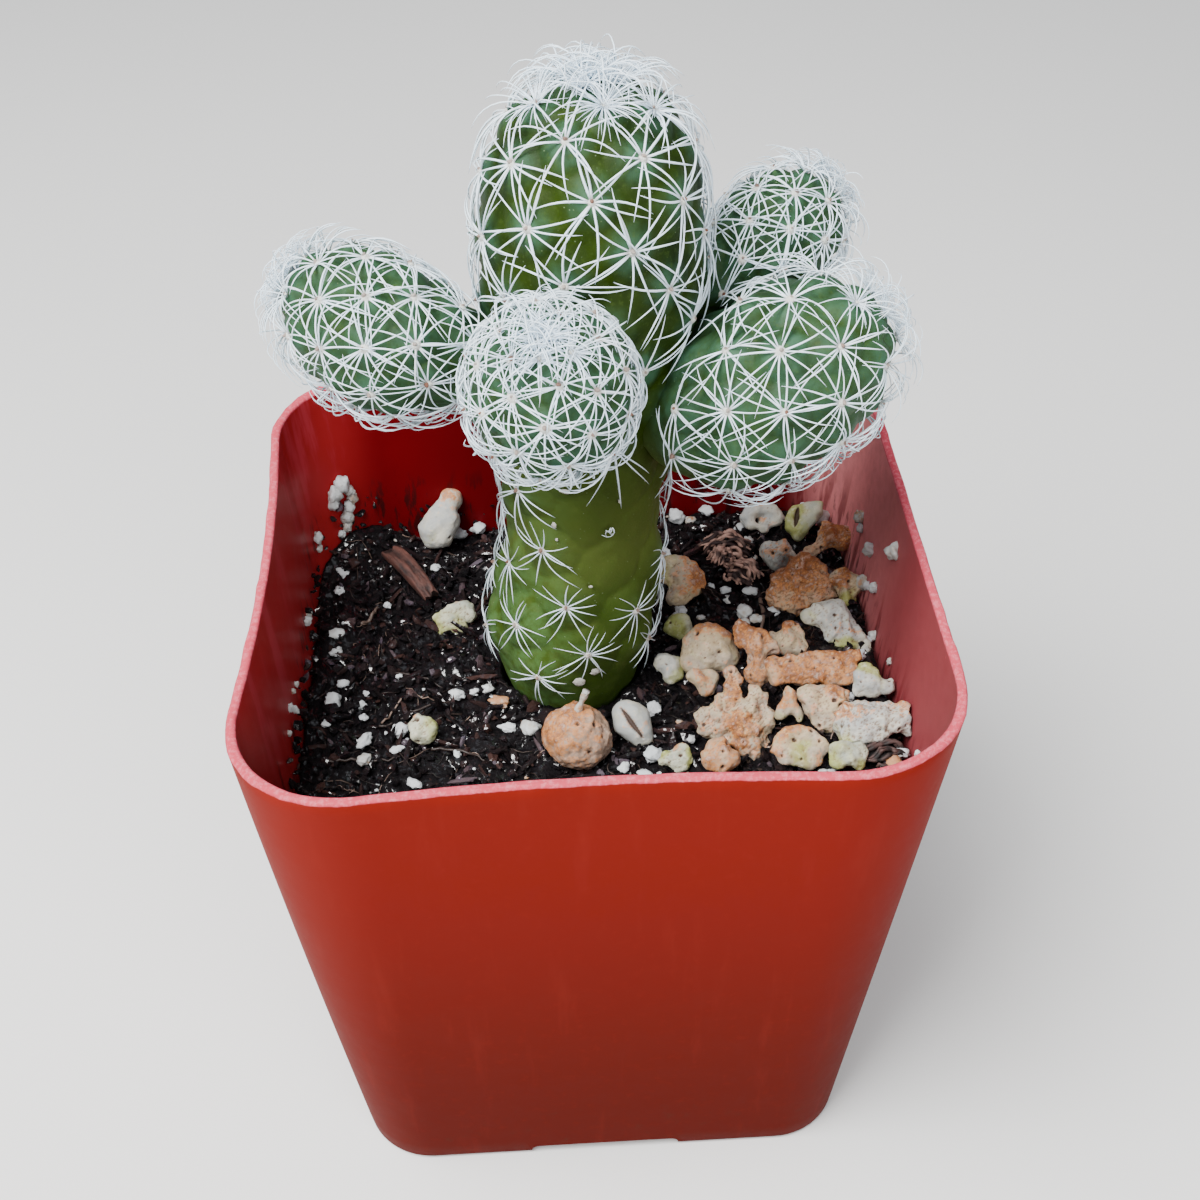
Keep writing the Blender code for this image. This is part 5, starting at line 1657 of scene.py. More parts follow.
@dataclass(frozen=True)
class Grain:
    """A loose puffed grain: round lobes swollen together and crusted over.

    Args:
        node: the solid's name.
        kind: its sort.
        lobes: rows of right, up, near, radius and tone, in millimetres from the solid's
            middle as seen in the photograph. Tone is 1 for toasted and -1 for greenish.
        crust: height of the crust in millimetres.
        pits: how many small holes it has.
        shift: how far right and up its middle lies from the solid's.
        groove: a cut, painted dark as shade, from right, up to right, up, or nothing.
        bridge: lobes closer than this share of both radii are joined by another between them.
    """

    node: str
    kind: GrainKind
    lobes: Rows
    crust: float = 0.20
    pits: int = 3
    shift: Pair = (0.0, 0.0)
    groove: Optional[tuple[float, float, float, float]] = None
    bridge: float = 1.3

    def middle(self) -> Array:
        """Middle of the solid's box, moved by the shift."""
        low, high = in_mm(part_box(self.node))
        return (low + high) / 2 + np.array(self.shift) @ PICTURE_AXES[:2]

    def skin(self, centres: Array, radii: Array) -> tuple[Array, Array]:
        """One closed skin round all lobes, relaxed so that they melt together.

        Args:
            centres: middles of the lobes.
            radii: their radii.

        Returns:
            Points and four-sided faces.
        """
        directions, faces = ball(3)
        points = (centres[:, None] + radii[:, None, None] * directions).reshape(-1, 3)
        rows = (faces[None] + np.arange(len(centres))[:, None, None] * len(directions)).reshape(-1, 3)
        mesh = bpy.data.meshes.new("lobes")
        mesh.from_pydata(points.tolist(), [], rows.tolist())
        loose = placed("lobes", mesh)
        step = loose.modifiers.new("skin", "REMESH")
        step.mode, step.voxel_size = "VOXEL", LOBE_VOXEL
        graph = bpy.context.evaluated_depsgraph_get()
        made = bpy.data.meshes.new_from_object(loose.evaluated_get(graph))
        bpy.data.objects.remove(loose, do_unlink=True)
        points = np.empty(3 * len(made.vertices))
        made.vertices.foreach_get("co", points)
        corners = np.empty(len(made.loops), np.int32)
        made.loops.foreach_get("vertex_index", corners)
        bpy.data.meshes.remove(made)
        points, faces = points.reshape(-1, 3), corners.reshape(-1, 4)
        for _ in range(LOBE_MELT):
            points = 0.4 * points + 0.6 * neighbour_mean(points, faces)
        return points, faces

    def shape(self, seed: int) -> Shape:
        """The grain's surface, with crust, pits and groove.

        The crust is the sum of round knobs, from the distance to the nearest of scattered
        spots, of folds that stand where cloud noise crosses its mean, and of cloud noise.
        Pits are bells that sink in.
        """
        draw = np.random.default_rng(seed + 900)
        rows = np.array(self.lobes)
        middle = self.middle()
        far = 1 + PICTURE_SHRINK * (middle[1] - PICTURE_NEAR)
        centres = middle + far * rows[:, :3] @ PICTURE_AXES
        radii = far * rows[:, 3]
        a, b = np.triu_indices(len(rows), 1)
        apart = np.linalg.norm(centres[a] - centres[b], axis=1)
        joined = apart < self.bridge * (radii[a] + radii[b])
        bridges = 0.5 * (centres[a] + centres[b])[joined]
        width = 0.5 * (radii[a] + radii[b])[joined]
        points, faces = self.skin(np.vstack([centres, bridges]), np.append(radii, width) * LOBE_SWELL)
        normals = vertex_normals(points, faces)
        gaps = np.linalg.norm(points[:, None] - centres, axis=2) - radii
        weights = np.exp(-gaps / (0.22 * far))
        tone = (weights * rows[:, 4]).sum(axis=1) / weights.sum(axis=1)
        spots = points + 13.0 * seed
        knobs = 1 - cell_gap(spots * 0.85, seed)
        small = 1 - cell_gap(spots * 2.6, seed + 3)
        cloud = cloud_noise(spots * 0.8, 3, seed) - 0.5
        fine = cloud_noise(spots * 3.2, 3, seed + 40) - 0.5
        folds = 1 - 5 * np.abs(cloud_noise(spots * 0.55, 2, seed + 80) - 0.5)
        raised = self.crust * (1.5 * (knobs - 0.45) + 0.35 * (small - 0.45) + 3.2 * cloud + 1.5 * fine
                               + 1.9 * (folds - 0.5))
        pit = np.zeros(len(points))
        if self.pits:
            seen = np.flatnonzero(normals @ (0.0, -0.5, 0.8) > 0.3)
            holes = points[draw.choice(seen, self.pits)]
            reach = draw.uniform(0.07, 0.24, self.pits)
            ragged = 0.5 + 1.1 * cloud_noise(spots * 2.4, 2, seed + 60)
            pit = np.linalg.norm(points[:, None] - holes, axis=2) * ragged[:, None] / reach
            pit = np.exp(-(pit**3)).max(axis=1)
        cut = np.zeros(len(points))
        if self.groove:
            flat = (points - middle) @ PICTURE_AXES[:2].T / far
            a, b = np.array(self.groove[:2]), np.array(self.groove[2:])
            share = np.clip((flat - a) @ (b - a) / ((b - a) @ (b - a)), 0, 1)
            away = np.linalg.norm(flat - a - share[:, None] * (b - a), axis=1)
            front = smooth_step(normals @ PICTURE_AXES[2], 0.0, 0.4)
            cut = np.exp(-((away / (0.10 + 0.17 * np.sin(math.pi * share))) ** 4)) * front
        points = points + normals * (raised - 0.34 * pit - 0.42 * cut)[:, None]
        hollow = ((neighbour_mean(points, faces) - points) * normals).sum(axis=1)
        marks = {"tone": tone + 0.55 * (knobs - 0.6), "pit": np.maximum(pit, cut),
                 "crease": smooth_step(hollow, 0.005, 0.036), "ridge": smooth_step(-hollow, 0.012, 0.05),
                 "top": smooth_step(normals[:, 2], -0.4, 0.8)}
        return Shape(points, faces.tolist(), marks)


GRAINS = (
    Grain("curled_shell", GrainKind.WHITE, (
        (-1.55, 0, 0.2, 0.6, 0.1), (-0.9, 0.7, 0, 0.6, 0.1), (0.1, 0.9, -0.1, 0.55, 0.4),
        (1.05, 0.55, -0.1, 0.6, 0), (1.65, -0.1, 0, 0.5, 0), (-1.05, -0.6, 0.6, 0.5, 0),
        (0, -0.9, 0.7, 0.5, 0.1), (0.95, -0.55, 0.3, 0.45, 0.5), (0.2, -0.45, -0.3, 0.6, 0.9)),
        0.09, 1, bridge=0.95),
    Grain("green_curl", GrainKind.GREEN, (
        (-1.1, 0.4, 0, 0.6, -1), (-1.2, -0.5, 0.1, 0.6, -0.8), (-0.7, -1.3, 0.1, 0.5, -0.5),
        (-0.2, -0.5, 0.3, 0.6, -0.3), (0.4, 0.2, 0.3, 0.6, 0), (1.1, 1, 0.1, 0.65, 0),
        (1.4, 1.5, 0, 0.45, -0.4), (-0.7, 1.1, -0.1, 0.5, -1), (0.4, 1.3, -0.2, 0.5, 0)),
        0.08, 0, (0.2, 0.8), (-0.6, 1.4, -1, -0.4)),
    Grain("orange_lump", GrainKind.ORANGE, (
        (2, 0.1, 0, 0.75, 1), (1.2, 0.6, 0, 0.75, 1), (0.3, 0.8, -0.1, 0.75, 1), (0.1, -0.2, 0.3, 0.6, 0.6),
        (1.1, -0.3, 0.3, 0.55, 0.5), (-0.6, 0, 0.1, 0.55, 0.4), (-1.2, -0.6, 0.2, 0.5, 0),
        (-1.8, -1.2, 0.3, 0.5, 0), (-2.4, -1.3, 0.3, 0.35, 0), (-0.1, 1.4, -0.1, 0.3, 0)),
        0.22, 3, (0.2, 0.8)),
    Grain("dull_lump", GrainKind.WHITE, (
        (-0.8, 0.5, 0, 0.75, 0.2), (0.2, 0.4, 0.2, 0.95, 0.4), (1, -0.1, 0, 0.7, 0.3),
        (-0.4, -0.5, 0.3, 0.7, 0.1), (-1.35, 0.4, 0, 0.4, 0.2)), 0.16, 2, (0, 0.3)),
    Grain("boulder", GrainKind.ORANGE, (
        (0.4, 1.85, -0.2, 0.9, 1), (1.2, 1.9, -0.3, 0.75, 1), (-0.5, 1.45, 0, 0.8, 0.9),
        (-1.7, 0.25, 0.2, 1, 0.8), (-0.3, 0.25, 0.6, 1.15, 0.8), (-2.1, -1.15, 0.4, 0.85, 0.45),
        (-0.7, -1.55, 0.7, 0.95, 0.4), (1.1, 0, 0.5, 1.1, 0.5), (2.2, -0.55, 0.2, 0.85, 0),
        (1.3, -1.35, 0.5, 0.8, 0.1), (2, 0.6, 0, 0.7, 0.3)), 0.26, 6, (0.2, 0.3)),
    Grain("boulder_neighbour", GrainKind.TOAST, (
        (-0.1, 1.3, 0, 0.55, 1), (-1, 1.2, 0.1, 0.4, 0), (-0.4, 0.3, 0.3, 0.7, 0.6), (0.8, 0.7, 0, 0.55, 0),
        (1, -0.5, 0, 0.5, -0.3), (0.2, -0.9, 0.3, 0.7, -0.6), (0.8, -1.5, 0.2, 0.4, -0.8)), 0.18, 2),
    Grain("cream_nugget", GrainKind.TOAST, (
        (-0.95, 1.65, 0, 0.8, -0.3), (0, 1.45, 0, 0.75, 0.3), (-1.35, 0.45, 0.1, 0.75, -0.3),
        (-0.35, 0.05, 0.3, 0.85, 0), (1.25, 0.45, 0, 0.75, 0.7), (1.35, -0.45, 0.1, 0.65, 0.6),
        (0.25, -0.95, 0.5, 0.75, 0.5), (-0.95, -1.55, 0.5, 0.75, 0), (-0.25, -1.95, 0.5, 0.45, 0)), 0.12, 2),
    Grain("lobed_white", GrainKind.WHITE, (
        (-2.05, 0.9, 0.2, 0.7, -0.2), (-1.05, 1.5, 0, 0.7, 0), (0.25, 1.6, 0, 0.8, 0),
        (0.75, 0.7, 0.1, 0.75, 0), (-0.65, 0.5, 0.4, 0.65, 0), (-0.45, -0.5, 0.5, 0.75, 0),
        (0.55, -0.5, 0.4, 0.7, 0), (1.75, -0.7, 0.2, 0.6, 0.6), (1.15, -1.7, 0.5, 0.65, -0.9),
        (2.25, -0.3, 0.1, 0.35, 0), (2.7, -1.4, 0.2, 0.4, 0), (3, -2.3, 0.2, 0.45, 0),
        (0, -1.6, 0.4, 0.5, -0.5), (2.1, -2.1, 0.3, 0.45, -0.2)), 0.15, 3),
    Grain("broad_disc", GrainKind.TOAST, (
        (-1.4, -1.15, 0.2, 1.25, 0), (-0.2, -0.55, 0.4, 1.5, 0), (1.2, -0.75, 0.2, 1.3, -0.1),
        (-0.4, 1.05, 0.1, 1.1, 0.4), (1.1, 1.15, 0, 0.85, 0.8), (-0.7, 1.7, -0.1, 0.6, 0.8),
        (0.15, 2, -0.1, 0.4, 0.8), (-1.8, 0.4, 0.1, 0.8, 0.2)), 0.10, 3),
    Grain("upright_slab", GrainKind.ORANGE, (
        (-1.6, 2.6, 0, 0.45, 1), (-1.8, 1.85, 0.1, 0.45, 1), (-1.2, 1.1, 0.2, 0.6, 0.7),
        (-0.5, 2.1, -0.1, 0.55, 0.9), (0.2, 1.9, -0.1, 0.5, 0.7), (-0.1, 0.95, 0.2, 0.75, 0.3),
        (0.9, 0.95, 0, 0.55, 0.6), (1.5, 0.35, 0, 0.6, 0.1), (0.1, -0.25, 0.3, 0.75, 0.1),
        (-0.1, -1.35, 0.3, 0.75, 0.3), (0.3, -2.3, 0.4, 0.75, 0.4), (1.1, -1.9, 0.2, 0.6, 0.4),
        (-0.6, -2.2, 0.3, 0.6, 0.5)), 0.17, 3, (0, 0.2)),
    Grain("wedge", GrainKind.TOAST, (
        (-0.15, 1.2, 0, 0.5, 0.9), (0.55, 0.8, 0, 0.55, 0.5), (0, 0.2, 0.3, 0.75, 0.2),
        (1.05, -0.2, 0.1, 0.6, 0.1), (1.45, -1, 0.2, 0.5, 0.4), (-0.55, -0.8, 0.4, 0.65, 0),
        (-1.45, 0.2, 0.1, 0.45, 0), (0.55, -1, 0.4, 0.6, 0.1)), 0.15, 2),
    Grain("long_bar", GrainKind.ORANGE, (
        (-3.7, 0.55, 0.2, 0.7, 0.6), (-3.4, -0.4, 0.4, 0.7, 0.5), (-2.4, 0, 0.3, 0.85, 0.6),
        (-1.2, -0.2, 0.3, 0.9, 0.5), (0.1, -0.3, 0.3, 0.9, 0.6), (1.4, -0.4, 0.3, 0.85, 0.5),
        (2.6, -0.5, 0.3, 0.8, 0.5), (3.5, -0.2, 0.2, 0.75, 0.7), (-3.4, 1.1, 0, 0.5, 0.9),
        (-2.2, 1, -0.1, 0.55, 0.9), (-1.5, 1.2, -0.1, 0.4, 0.2), (-0.7, 1.2, -0.2, 0.5, 0.9),
        (0.2, 1.3, -0.2, 0.45, 0.5), (1.2, 1.4, -0.2, 0.5, 0.9), (2.3, 1.3, -0.2, 0.5, 0.9),
        (3.3, 1.4, -0.2, 0.45, 0.8), (4, 1.2, 0, 0.4, 1), (0.7, 0.5, 0, 0.55, 0.2), (1.8, 0.5, 0, 0.55, 0.3),
        (2.9, 0.5, 0, 0.55, 0.3)), 0.18, 4),
    Grain("small_nugget", GrainKind.TOAST, (
        (-0.8, 0.65, 0.2, 0.6, 0), (0, 0.25, 0.4, 0.75, 0.5), (0.9, 0.55, 0.1, 0.6, 0),
        (0.8, -0.55, 0.3, 0.6, 0), (0.2, -0.85, 0.3, 0.5, 0.4)), 0.10, 1),
    Grain("grey_nugget", GrainKind.WHITE, (
        (-0.45, 0.85, 0, 0.7, 0), (0.15, 0.35, 0.3, 0.8, 0), (0.75, -0.35, 0.2, 0.65, -0.9),
        (-0.85, 0.55, 0, 0.5, 0), (0.95, 0.55, -0.1, 0.5, -0.7), (0.15, -0.75, 0.3, 0.55, -0.2)), 0.09, 1),
    Grain("lobed_cluster", GrainKind.TOAST, (
        (-0.1, 3.9, -0.2, 0.45, 0.1), (0, 3.3, -0.1, 0.55, 0.2), (-0.1, 2.6, 0, 0.65, 0.7),
        (-0.1, 1.85, 0.1, 0.7, 0.6), (-1.1, 1.25, 0.1, 0.6, 0.2), (-2.9, -0.25, 0.2, 0.65, 0),
        (-3, -1.05, 0.3, 0.55, 0), (-2, 0.25, 0.2, 0.65, 0), (-2.1, -1.15, 0.4, 0.6, -0.1),
        (-1.1, -1.35, 0.5, 0.7, 0.1), (-0.9, 0.05, 0.5, 0.8, 0), (0.3, -0.55, 0.8, 0.95, 1),
        (0.7, 0.85, 0.4, 0.7, 0.1), (1.9, 2.1, -0.2, 0.65, 0), (2.6, 1.65, -0.1, 0.5, 0),
        (1.9, 0.85, 0.3, 0.7, 0), (2.8, 0.45, 0.2, 0.6, 0.1), (2.5, -0.75, 0.4, 0.7, 0.2),
        (3.1, -0.95, 0.2, 0.45, 0), (1.5, -1.55, 0.7, 0.8, 0.6), (1.9, -2.65, 0.6, 0.85, 0.1),
        (1.1, -3, 0.6, 0.8, 0), (2.7, -3.4, 0.4, 0.65, 0), (1.7, -3.6, 0.5, 0.7, 0),
        (0.5, -2.15, 0.7, 0.75, 0.7), (3.1, -2.6, 0.3, 0.55, 0.3)), 0.24, 9),
    Grain("spike", GrainKind.TOAST, (
        (-0.1, 1.35, 0, 0.35, 0.1), (0, 0.65, 0.2, 0.55, 0.6), (0.1, -0.05, 0.3, 0.6, 0.4),
        (-0.7, -0.25, 0.2, 0.5, 0.5), (-0.9, -1.05, 0.3, 0.5, -0.5), (0.6, -0.65, 0.3, 0.45, 0),
        (0.85, -1.4, 0.4, 0.35, -0.4)), 0.10, 1),
    Grain("right_lump", GrainKind.TOAST, (
        (-1.6, 1.2, 0.1, 0.75, 0), (-0.4, 1.2, 0.2, 0.8, 0.1), (-1.2, 0.4, 0.4, 0.8, 0),
        (0.8, 1.4, 0, 0.75, 0.8), (1.4, 0.8, 0.1, 0.7, 0.7), (0.4, 0.2, 0.5, 0.85, 0.2),
        (1.95, 1, -0.1, 0.5, 0.1), (1, -0.8, 0.5, 0.8, 0.3), (-0.4, -1, 0.6, 0.8, 0),
        (0.4, -1.6, 0.6, 0.6, -0.1)), 0.18, 4, (-0.5, -0.3)),
    Grain("right_white", GrainKind.WHITE, (
        (-0.55, 1.1, 0, 0.6, -1), (0.15, 0.7, 0.1, 0.55, -0.9), (-1.15, 0.1, 0.2, 0.6, 0),
        (-0.35, -0.3, 0.4, 0.7, 0), (0.65, -0.5, 0.3, 0.55, 0), (1.55, -0.3, 0.1, 0.5, 0),
        (-1.5, -1.1, 0.4, 0.5, 0), (1.25, -0.9, 0.2, 0.45, 0), (-0.15, -1.2, 0.4, 0.45, 0)),
        0.14, 2, (-0.3, 0)),
    Grain("right_disc", GrainKind.WHITE, (
        (-2.6, 0.65, 0.1, 0.9, 0.9), (-3, -0.55, 0.4, 0.75, -0.3), (-1.6, 1.05, 0, 0.8, 0.5),
        (-0.4, 1.15, 0, 0.8, 0.1), (0.8, 1.15, 0, 0.8, 0.1), (2, 1.05, 0, 0.8, 0.8), (2.6, 0.25, 0.1, 0.7, 0),
        (-1.8, -0.35, 0.5, 0.85, 0.1), (-0.6, -0.15, 0.6, 0.9, 0), (0.6, -0.25, 0.6, 0.9, 0),
        (1.8, -0.35, 0.5, 0.8, 0), (-1.4, -1.35, 0.8, 0.7, 0), (-0.2, -1.15, 0.8, 0.75, 0),
        (3.3, 0.45, -0.1, 0.3, 0.2), (-2.8, -1.5, 0.6, 0.6, -0.6), (2.9, -0.7, 0.2, 0.45, 0)), 0.22, 9),
    Grain("front_shell", GrainKind.TOAST, (
        (-2.1, 1, 0, 0.5, 0.8), (-1.3, 1.5, -0.1, 0.5, 1), (-0.2, 1.65, -0.2, 0.5, 0.7),
        (0.9, 1.3, -0.1, 0.5, 0.2), (1.7, 0.6, 0, 0.45, 0), (2.3, 0, 0.1, 0.35, 0), (1.8, -0.4, 0.1, 0.4, 0),
        (-2.3, 0, 0.2, 0.5, 0.5), (-1.7, -0.9, 0.4, 0.55, 0.1), (-0.7, -0.6, 0.1, 0.8, -0.6),
        (0.3, 0.2, -0.6, 0.95, -0.7), (-1.1, 0.4, -0.5, 0.85, -0.5), (1.1, -0.6, 0, 0.7, 0.2),
        (1.5, -1.3, 0.3, 0.45, 0.4), (0.3, -1.2, 0.2, 0.65, -0.4)), 0.11, 5),
    Grain("small_ball", GrainKind.ORANGE, (
        (0, 0.35, 0.1, 1.2, 0.6), (-0.7, -0.25, 0.3, 0.95, 0.4), (0.7, -0.25, 0.2, 1, 0.2),
        (0, -0.85, 0.4, 0.8, 0.6), (-0.3, 1.1, 0, 0.5, 0)), 0.12, 3, (0, 0.8)),
    Grain("green_front", GrainKind.GREEN, (
        (-0.95, 0.4, 0.1, 0.5, -0.9), (-1.45, -0.3, 0.2, 0.45, 0), (-0.55, 0, 0.3, 0.6, 0),
        (0.35, 0.8, 0, 0.55, 0.6), (1.15, 0.6, 0, 0.5, -1.2), (0.45, -0.4, 0.4, 0.65, 0),
        (0.1, 1, 0, 0.35, 0.9), (-0.15, -0.9, 0.4, 0.5, 0), (1.25, -0.3, 0.2, 0.45, -1.2)), 0.15, 3),
    Grain("green_right", GrainKind.GREEN, (
        (-0.8, 0.5, 0.1, 0.75, -0.4), (0.2, -0.1, 0.4, 0.8, -0.2), (1.2, 0.5, 0.1, 0.65, 0),
        (-1, -0.5, 0.3, 0.65, -0.6), (0.8, -0.9, 0.4, 0.5, -0.7), (-0.5, 1, 0, 0.5, 0)), 0.13, 1, (0, 0.9)),
    Grain("pale_grooved", GrainKind.WHITE, (
        (-0.75, 1, 0, 1.05, 0), (0, 0.75, 0.2, 1.15, 0), (0.5, 0.6, 0.1, 1, 0), (-0.6, 0, 0.3, 1.1, 0),
        (0.5, -0.7, 0.3, 1.05, 0), (1.1, -1.3, 0.2, 0.7, 0), (0.5, -1.5, 0.3, 0.65, 0.2)),
        0.03, 0, (0, 0.2), (-1.1, 1.5, 0.9, -1.3)),
    Grain("round_ball", GrainKind.TAN, (
        (0, 0.1, 0, 2.60, 0.5), (-0.25, 0.25, 0.15, 2.55, 0.8), (0.3, -0.2, 0.1, 2.40, 0)), 0.12, 5),
    Grain("green_nugget", GrainKind.GREEN, (
        (-0.55, 0.45, 0, 0.6, -1), (0.25, 0.65, 0, 0.5, -0.4), (0.85, -0.15, 0.1, 0.5, 0),
        (1.15, -0.75, 0.2, 0.35, 0), (-0.15, -0.35, 0.3, 0.65, -0.8), (-1.05, -0.15, 0.1, 0.4, -0.7),
        (0.25, -0.95, 0.3, 0.45, -0.5)), 0.11, 1),
    Grain("back_lump", GrainKind.WHITE, (
        (-0.95, -1.05, 0.2, 1.15, -0.1), (-0.15, 0.25, 0, 1.15, 0), (0.80, 1.80, -0.1, 0.98, 0.9),
        (0.3, 0.95, 0.1, 0.85, 0), (0.4, -0.25, 0.2, 1.15, 0.1), (-1.1, -1.9, 0.3, 0.75, 0),
        (0.1, -1.7, 0.4, 0.85, 0)), 0.06, 1, (0, 0.8), bridge=0.8),
    Grain("left_flake", GrainKind.GREEN, (
        (-1.3, 0, 0, 0.55, -0.5), (0.1, 0.6, 0, 0.65, 0), (1.2, 0.9, 0, 0.55, 0),
        (0.4, -0.8, 0.3, 0.65, -0.5), (-1, -1, 0.2, 0.5, -0.6), (1.7, 0.1, 0, 0.45, 0),
        (-0.4, -0.1, 0.2, 0.6, -0.2)), 0.17, 2),
    Grain("left_crumb", GrainKind.GREEN, (
        (-0.5, 0.5, 0, 0.7, 0.1), (0.4, 0.4, 0, 0.7, -0.7), (-0.3, -0.5, 0.3, 0.75, 0),
        (0.5, -0.4, 0.2, 0.6, -0.6)), 0.17, 4),
)


@dataclass(frozen=True)
class LooseGrains:
    """Every loose grain, the bark chip, the shrivelled clump and the dark clod."""

    chip_size: Triple = (2.6, 10.0, 1.3)
    chip_turn: float = 28.0
    more_folds: tuple[tuple[Triple, Triple, float], ...] = (
        ((17.0, 14.6, 45.6), (4.4, 3.4, 2.6), -0.9), ((15.2, 17.6, 45.4), (3.0, 2.4, 2.4), 0.7))
    clod_place: Triple = (26.2, -15.7, 48.9)
    clod_size: Triple = (4.6, 2.8, 1.9)

    def chip(self) -> Shape:
        """A split flake of bark: a box-shaped grid, bowed and tapered, with ridges along its length."""
        width, length, thick = self.chip_size
        low, high = in_mm(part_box("bark_chip"))
        rows, count = 90, 64
        along = np.linspace(-1.0, 1.0, rows)[:, None]
        turn = np.arange(count)[None] * math.tau / count
        square = (np.abs(np.cos(turn)) ** 5 + np.abs(np.sin(turn)) ** 5) ** -0.2
        taper = 1 - 0.45 * np.abs(along) ** 3
        x = 0.5 * width * square * np.cos(turn) * (0.86 + 0.14 * along) * np.ones_like(along)
        y = 0.5 * length * along + 0 * turn
        z = 0.5 * thick * square * np.sin(turn) * taper + 0.35 * thick * (1 - along**2)
        points = np.stack([x, y, z], axis=-1).reshape(-1, 3)
        lines = cloud_noise(points * (3.2, 0.28, 2.0), 4, 61)
        torn = cloud_noise(points * (2.2, 0.0, 1.0), 3, 62) - 0.5
        points[:, 2] += 0.40 * (lines - 0.5) * np.sign(points[:, 2] - 0.2 * thick)
        points[:, 1] += 2.4 * torn * smooth_step(np.abs(points[:, 1]), 0.40 * length, 0.5 * length)
        points = turned(points, math.radians(self.chip_turn))
        middle = (points.min(axis=0) + points.max(axis=0)) / 2
        scale = np.minimum((high - low) / np.ptp(points, axis=0), 1.0)
        points = (points - middle) * scale + (low + high) / 2
        faces = [face[::-1] for face in ring_faces(rows, count, capped=True)]
        return Shape(points, faces, {"grain": lines})

    def clump(self) -> Shape:
        """A shrivelled, folded clump and two smaller ones beside it."""
        low, high = in_mm(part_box("bark_clump"))
        heaps = [self.folds((low + high) / 2, (high - low) * (1.15, 1.0, 1.1), 13, -0.15, 72)]
        for seed, (place, size, turn) in enumerate(self.more_folds):
            heaps.append(self.folds(np.array(place), np.array(size), 9, turn, 73 + seed))
        return Shape.joined(heaps)

    def folds(self, middle: Array, size: Array, lot: int, turn: float, seed: int) -> Shape:
        """Wavy ridges side by side over a lumpy core, like a crumpled dry leaf.

        Ridge number n runs along a line across the heap, raised by the half circle
        1 - t^2 and shaken by sines, and its thickness swells and shrinks along it.
        """
        directions, faces = ball(4)
        crust = cloud_noise(directions * 2.4, 4, seed - 1)
        points = directions * (0.55 + 0.75 * crust)[:, None]
        points = points / np.abs(points).max(axis=0) * size * (0.40, 0.40, 0.26) - (0.0, 0.0, 0.12 * size[2])
        core = Shape(points, faces.tolist(), {"grain": 0.25 * crust})
        draw = np.random.default_rng(seed)
        t = np.linspace(-1, 1, 26)[None]
        lane = np.linspace(-1, 1, lot)[:, None] + draw.uniform(-0.08, 0.08, (lot, 1))
        phase = draw.uniform(0, 6, (lot, 1))
        wide = np.sqrt(np.maximum(1.0 - 0.7 * lane**2, 0.1)) * draw.uniform(0.75, 1.1, (lot, 1))
        x = wide * t + 0.05 * np.sin(9 * t + phase)
        y = lane + 0.16 * np.sin(3.1 * t + 2.0 * lane + 0.4 * phase) + 0.05 * np.sin(11 * t + phase)
        z = 0.95 * (1 - 0.8 * lane**2) * (1 - t**2) - 0.15 + 0.15 * np.sin(7 * t + 1.7 * phase)
        path = np.stack([x, y, z], axis=-1) * size * 0.5
        radii = draw.uniform(0.13, 0.25, (lot, 1)) * (1 + 0.35 * np.sin(13 * t + phase) * np.cos(5 * t))
        radii = radii * (1 - 0.6 * t**4)
        ridges = tubes(path, radii, np.tile((0.0, 0.1, 1.0), (lot, 1)), 8)
        ridges.marks = {"grain": 0.9 * ridges.marks["draw"] + 0.35 * np.sin(19 * ridges.marks["share"])}
        heap = Shape.joined([core, ridges])
        heap.points = turned(heap.points, turn) + middle
        return heap

    def stalk(self) -> Shape:
        """The small pale stalk that leans on top of the round ball."""
        low, high = in_mm(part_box("round_ball"))
        top = np.array(((low[0] + high[0]) / 2 + 0.1, (low[1] + high[1]) / 2 + 0.5, high[2] - 0.15))
        t = np.linspace(0, 1, 12)
        path = top + np.column_stack([0.9 * t, 0.5 * t, 2.1 * t])
        radii = 0.30 + 0.14 * np.abs(2 * t - 1) ** 3 + 0.06 * np.sin(t * 11.0)
        stalk = tubes(path[None], radii[None], np.array([(0.0, 1.0, 0.0)]), 10)
        return Shape(stalk.points, stalk.faces, {"draw": np.full(len(stalk.points), 0.72)})

    def build(self) -> None:
        """Build and dress every grain."""
        finishes = {kind: finish.material() for kind, finish in GRAIN_FINISHES.items()}
        for seed, grain in enumerate(GRAINS):
            add_piece(grain.node + "_crust", grain.shape(seed), [finishes[grain.kind]], [grain.node])
        add_piece("round_ball_stalk", self.stalk(), [PerliteFinish().material()],
                  ["round_ball"])
        bark = BarkFinish("bark_flake", (0.014, 0.006, 0.005), (0.100, 0.036, 0.026))
        add_piece("bark_chip_flake", self.chip(), [bark.material()], ["bark_chip"], sharp=50.0)
        curl = BarkFinish("dried_curl", (0.022, 0.008, 0.008), (0.42, 0.25, 0.20))
        add_piece("bark_clump_curls", self.clump(), [curl.material()], ["bark_clump"])
        dark = BarkFinish("dark_clod", (0.006, 0.004, 0.004), (0.060, 0.030, 0.026))
        clod = self.folds(np.array(self.clod_place), np.array(self.clod_size), 9, 0.2, 91)
        add_piece("dark_clod", clod, [dark.material()], ["soil"])


# Stage

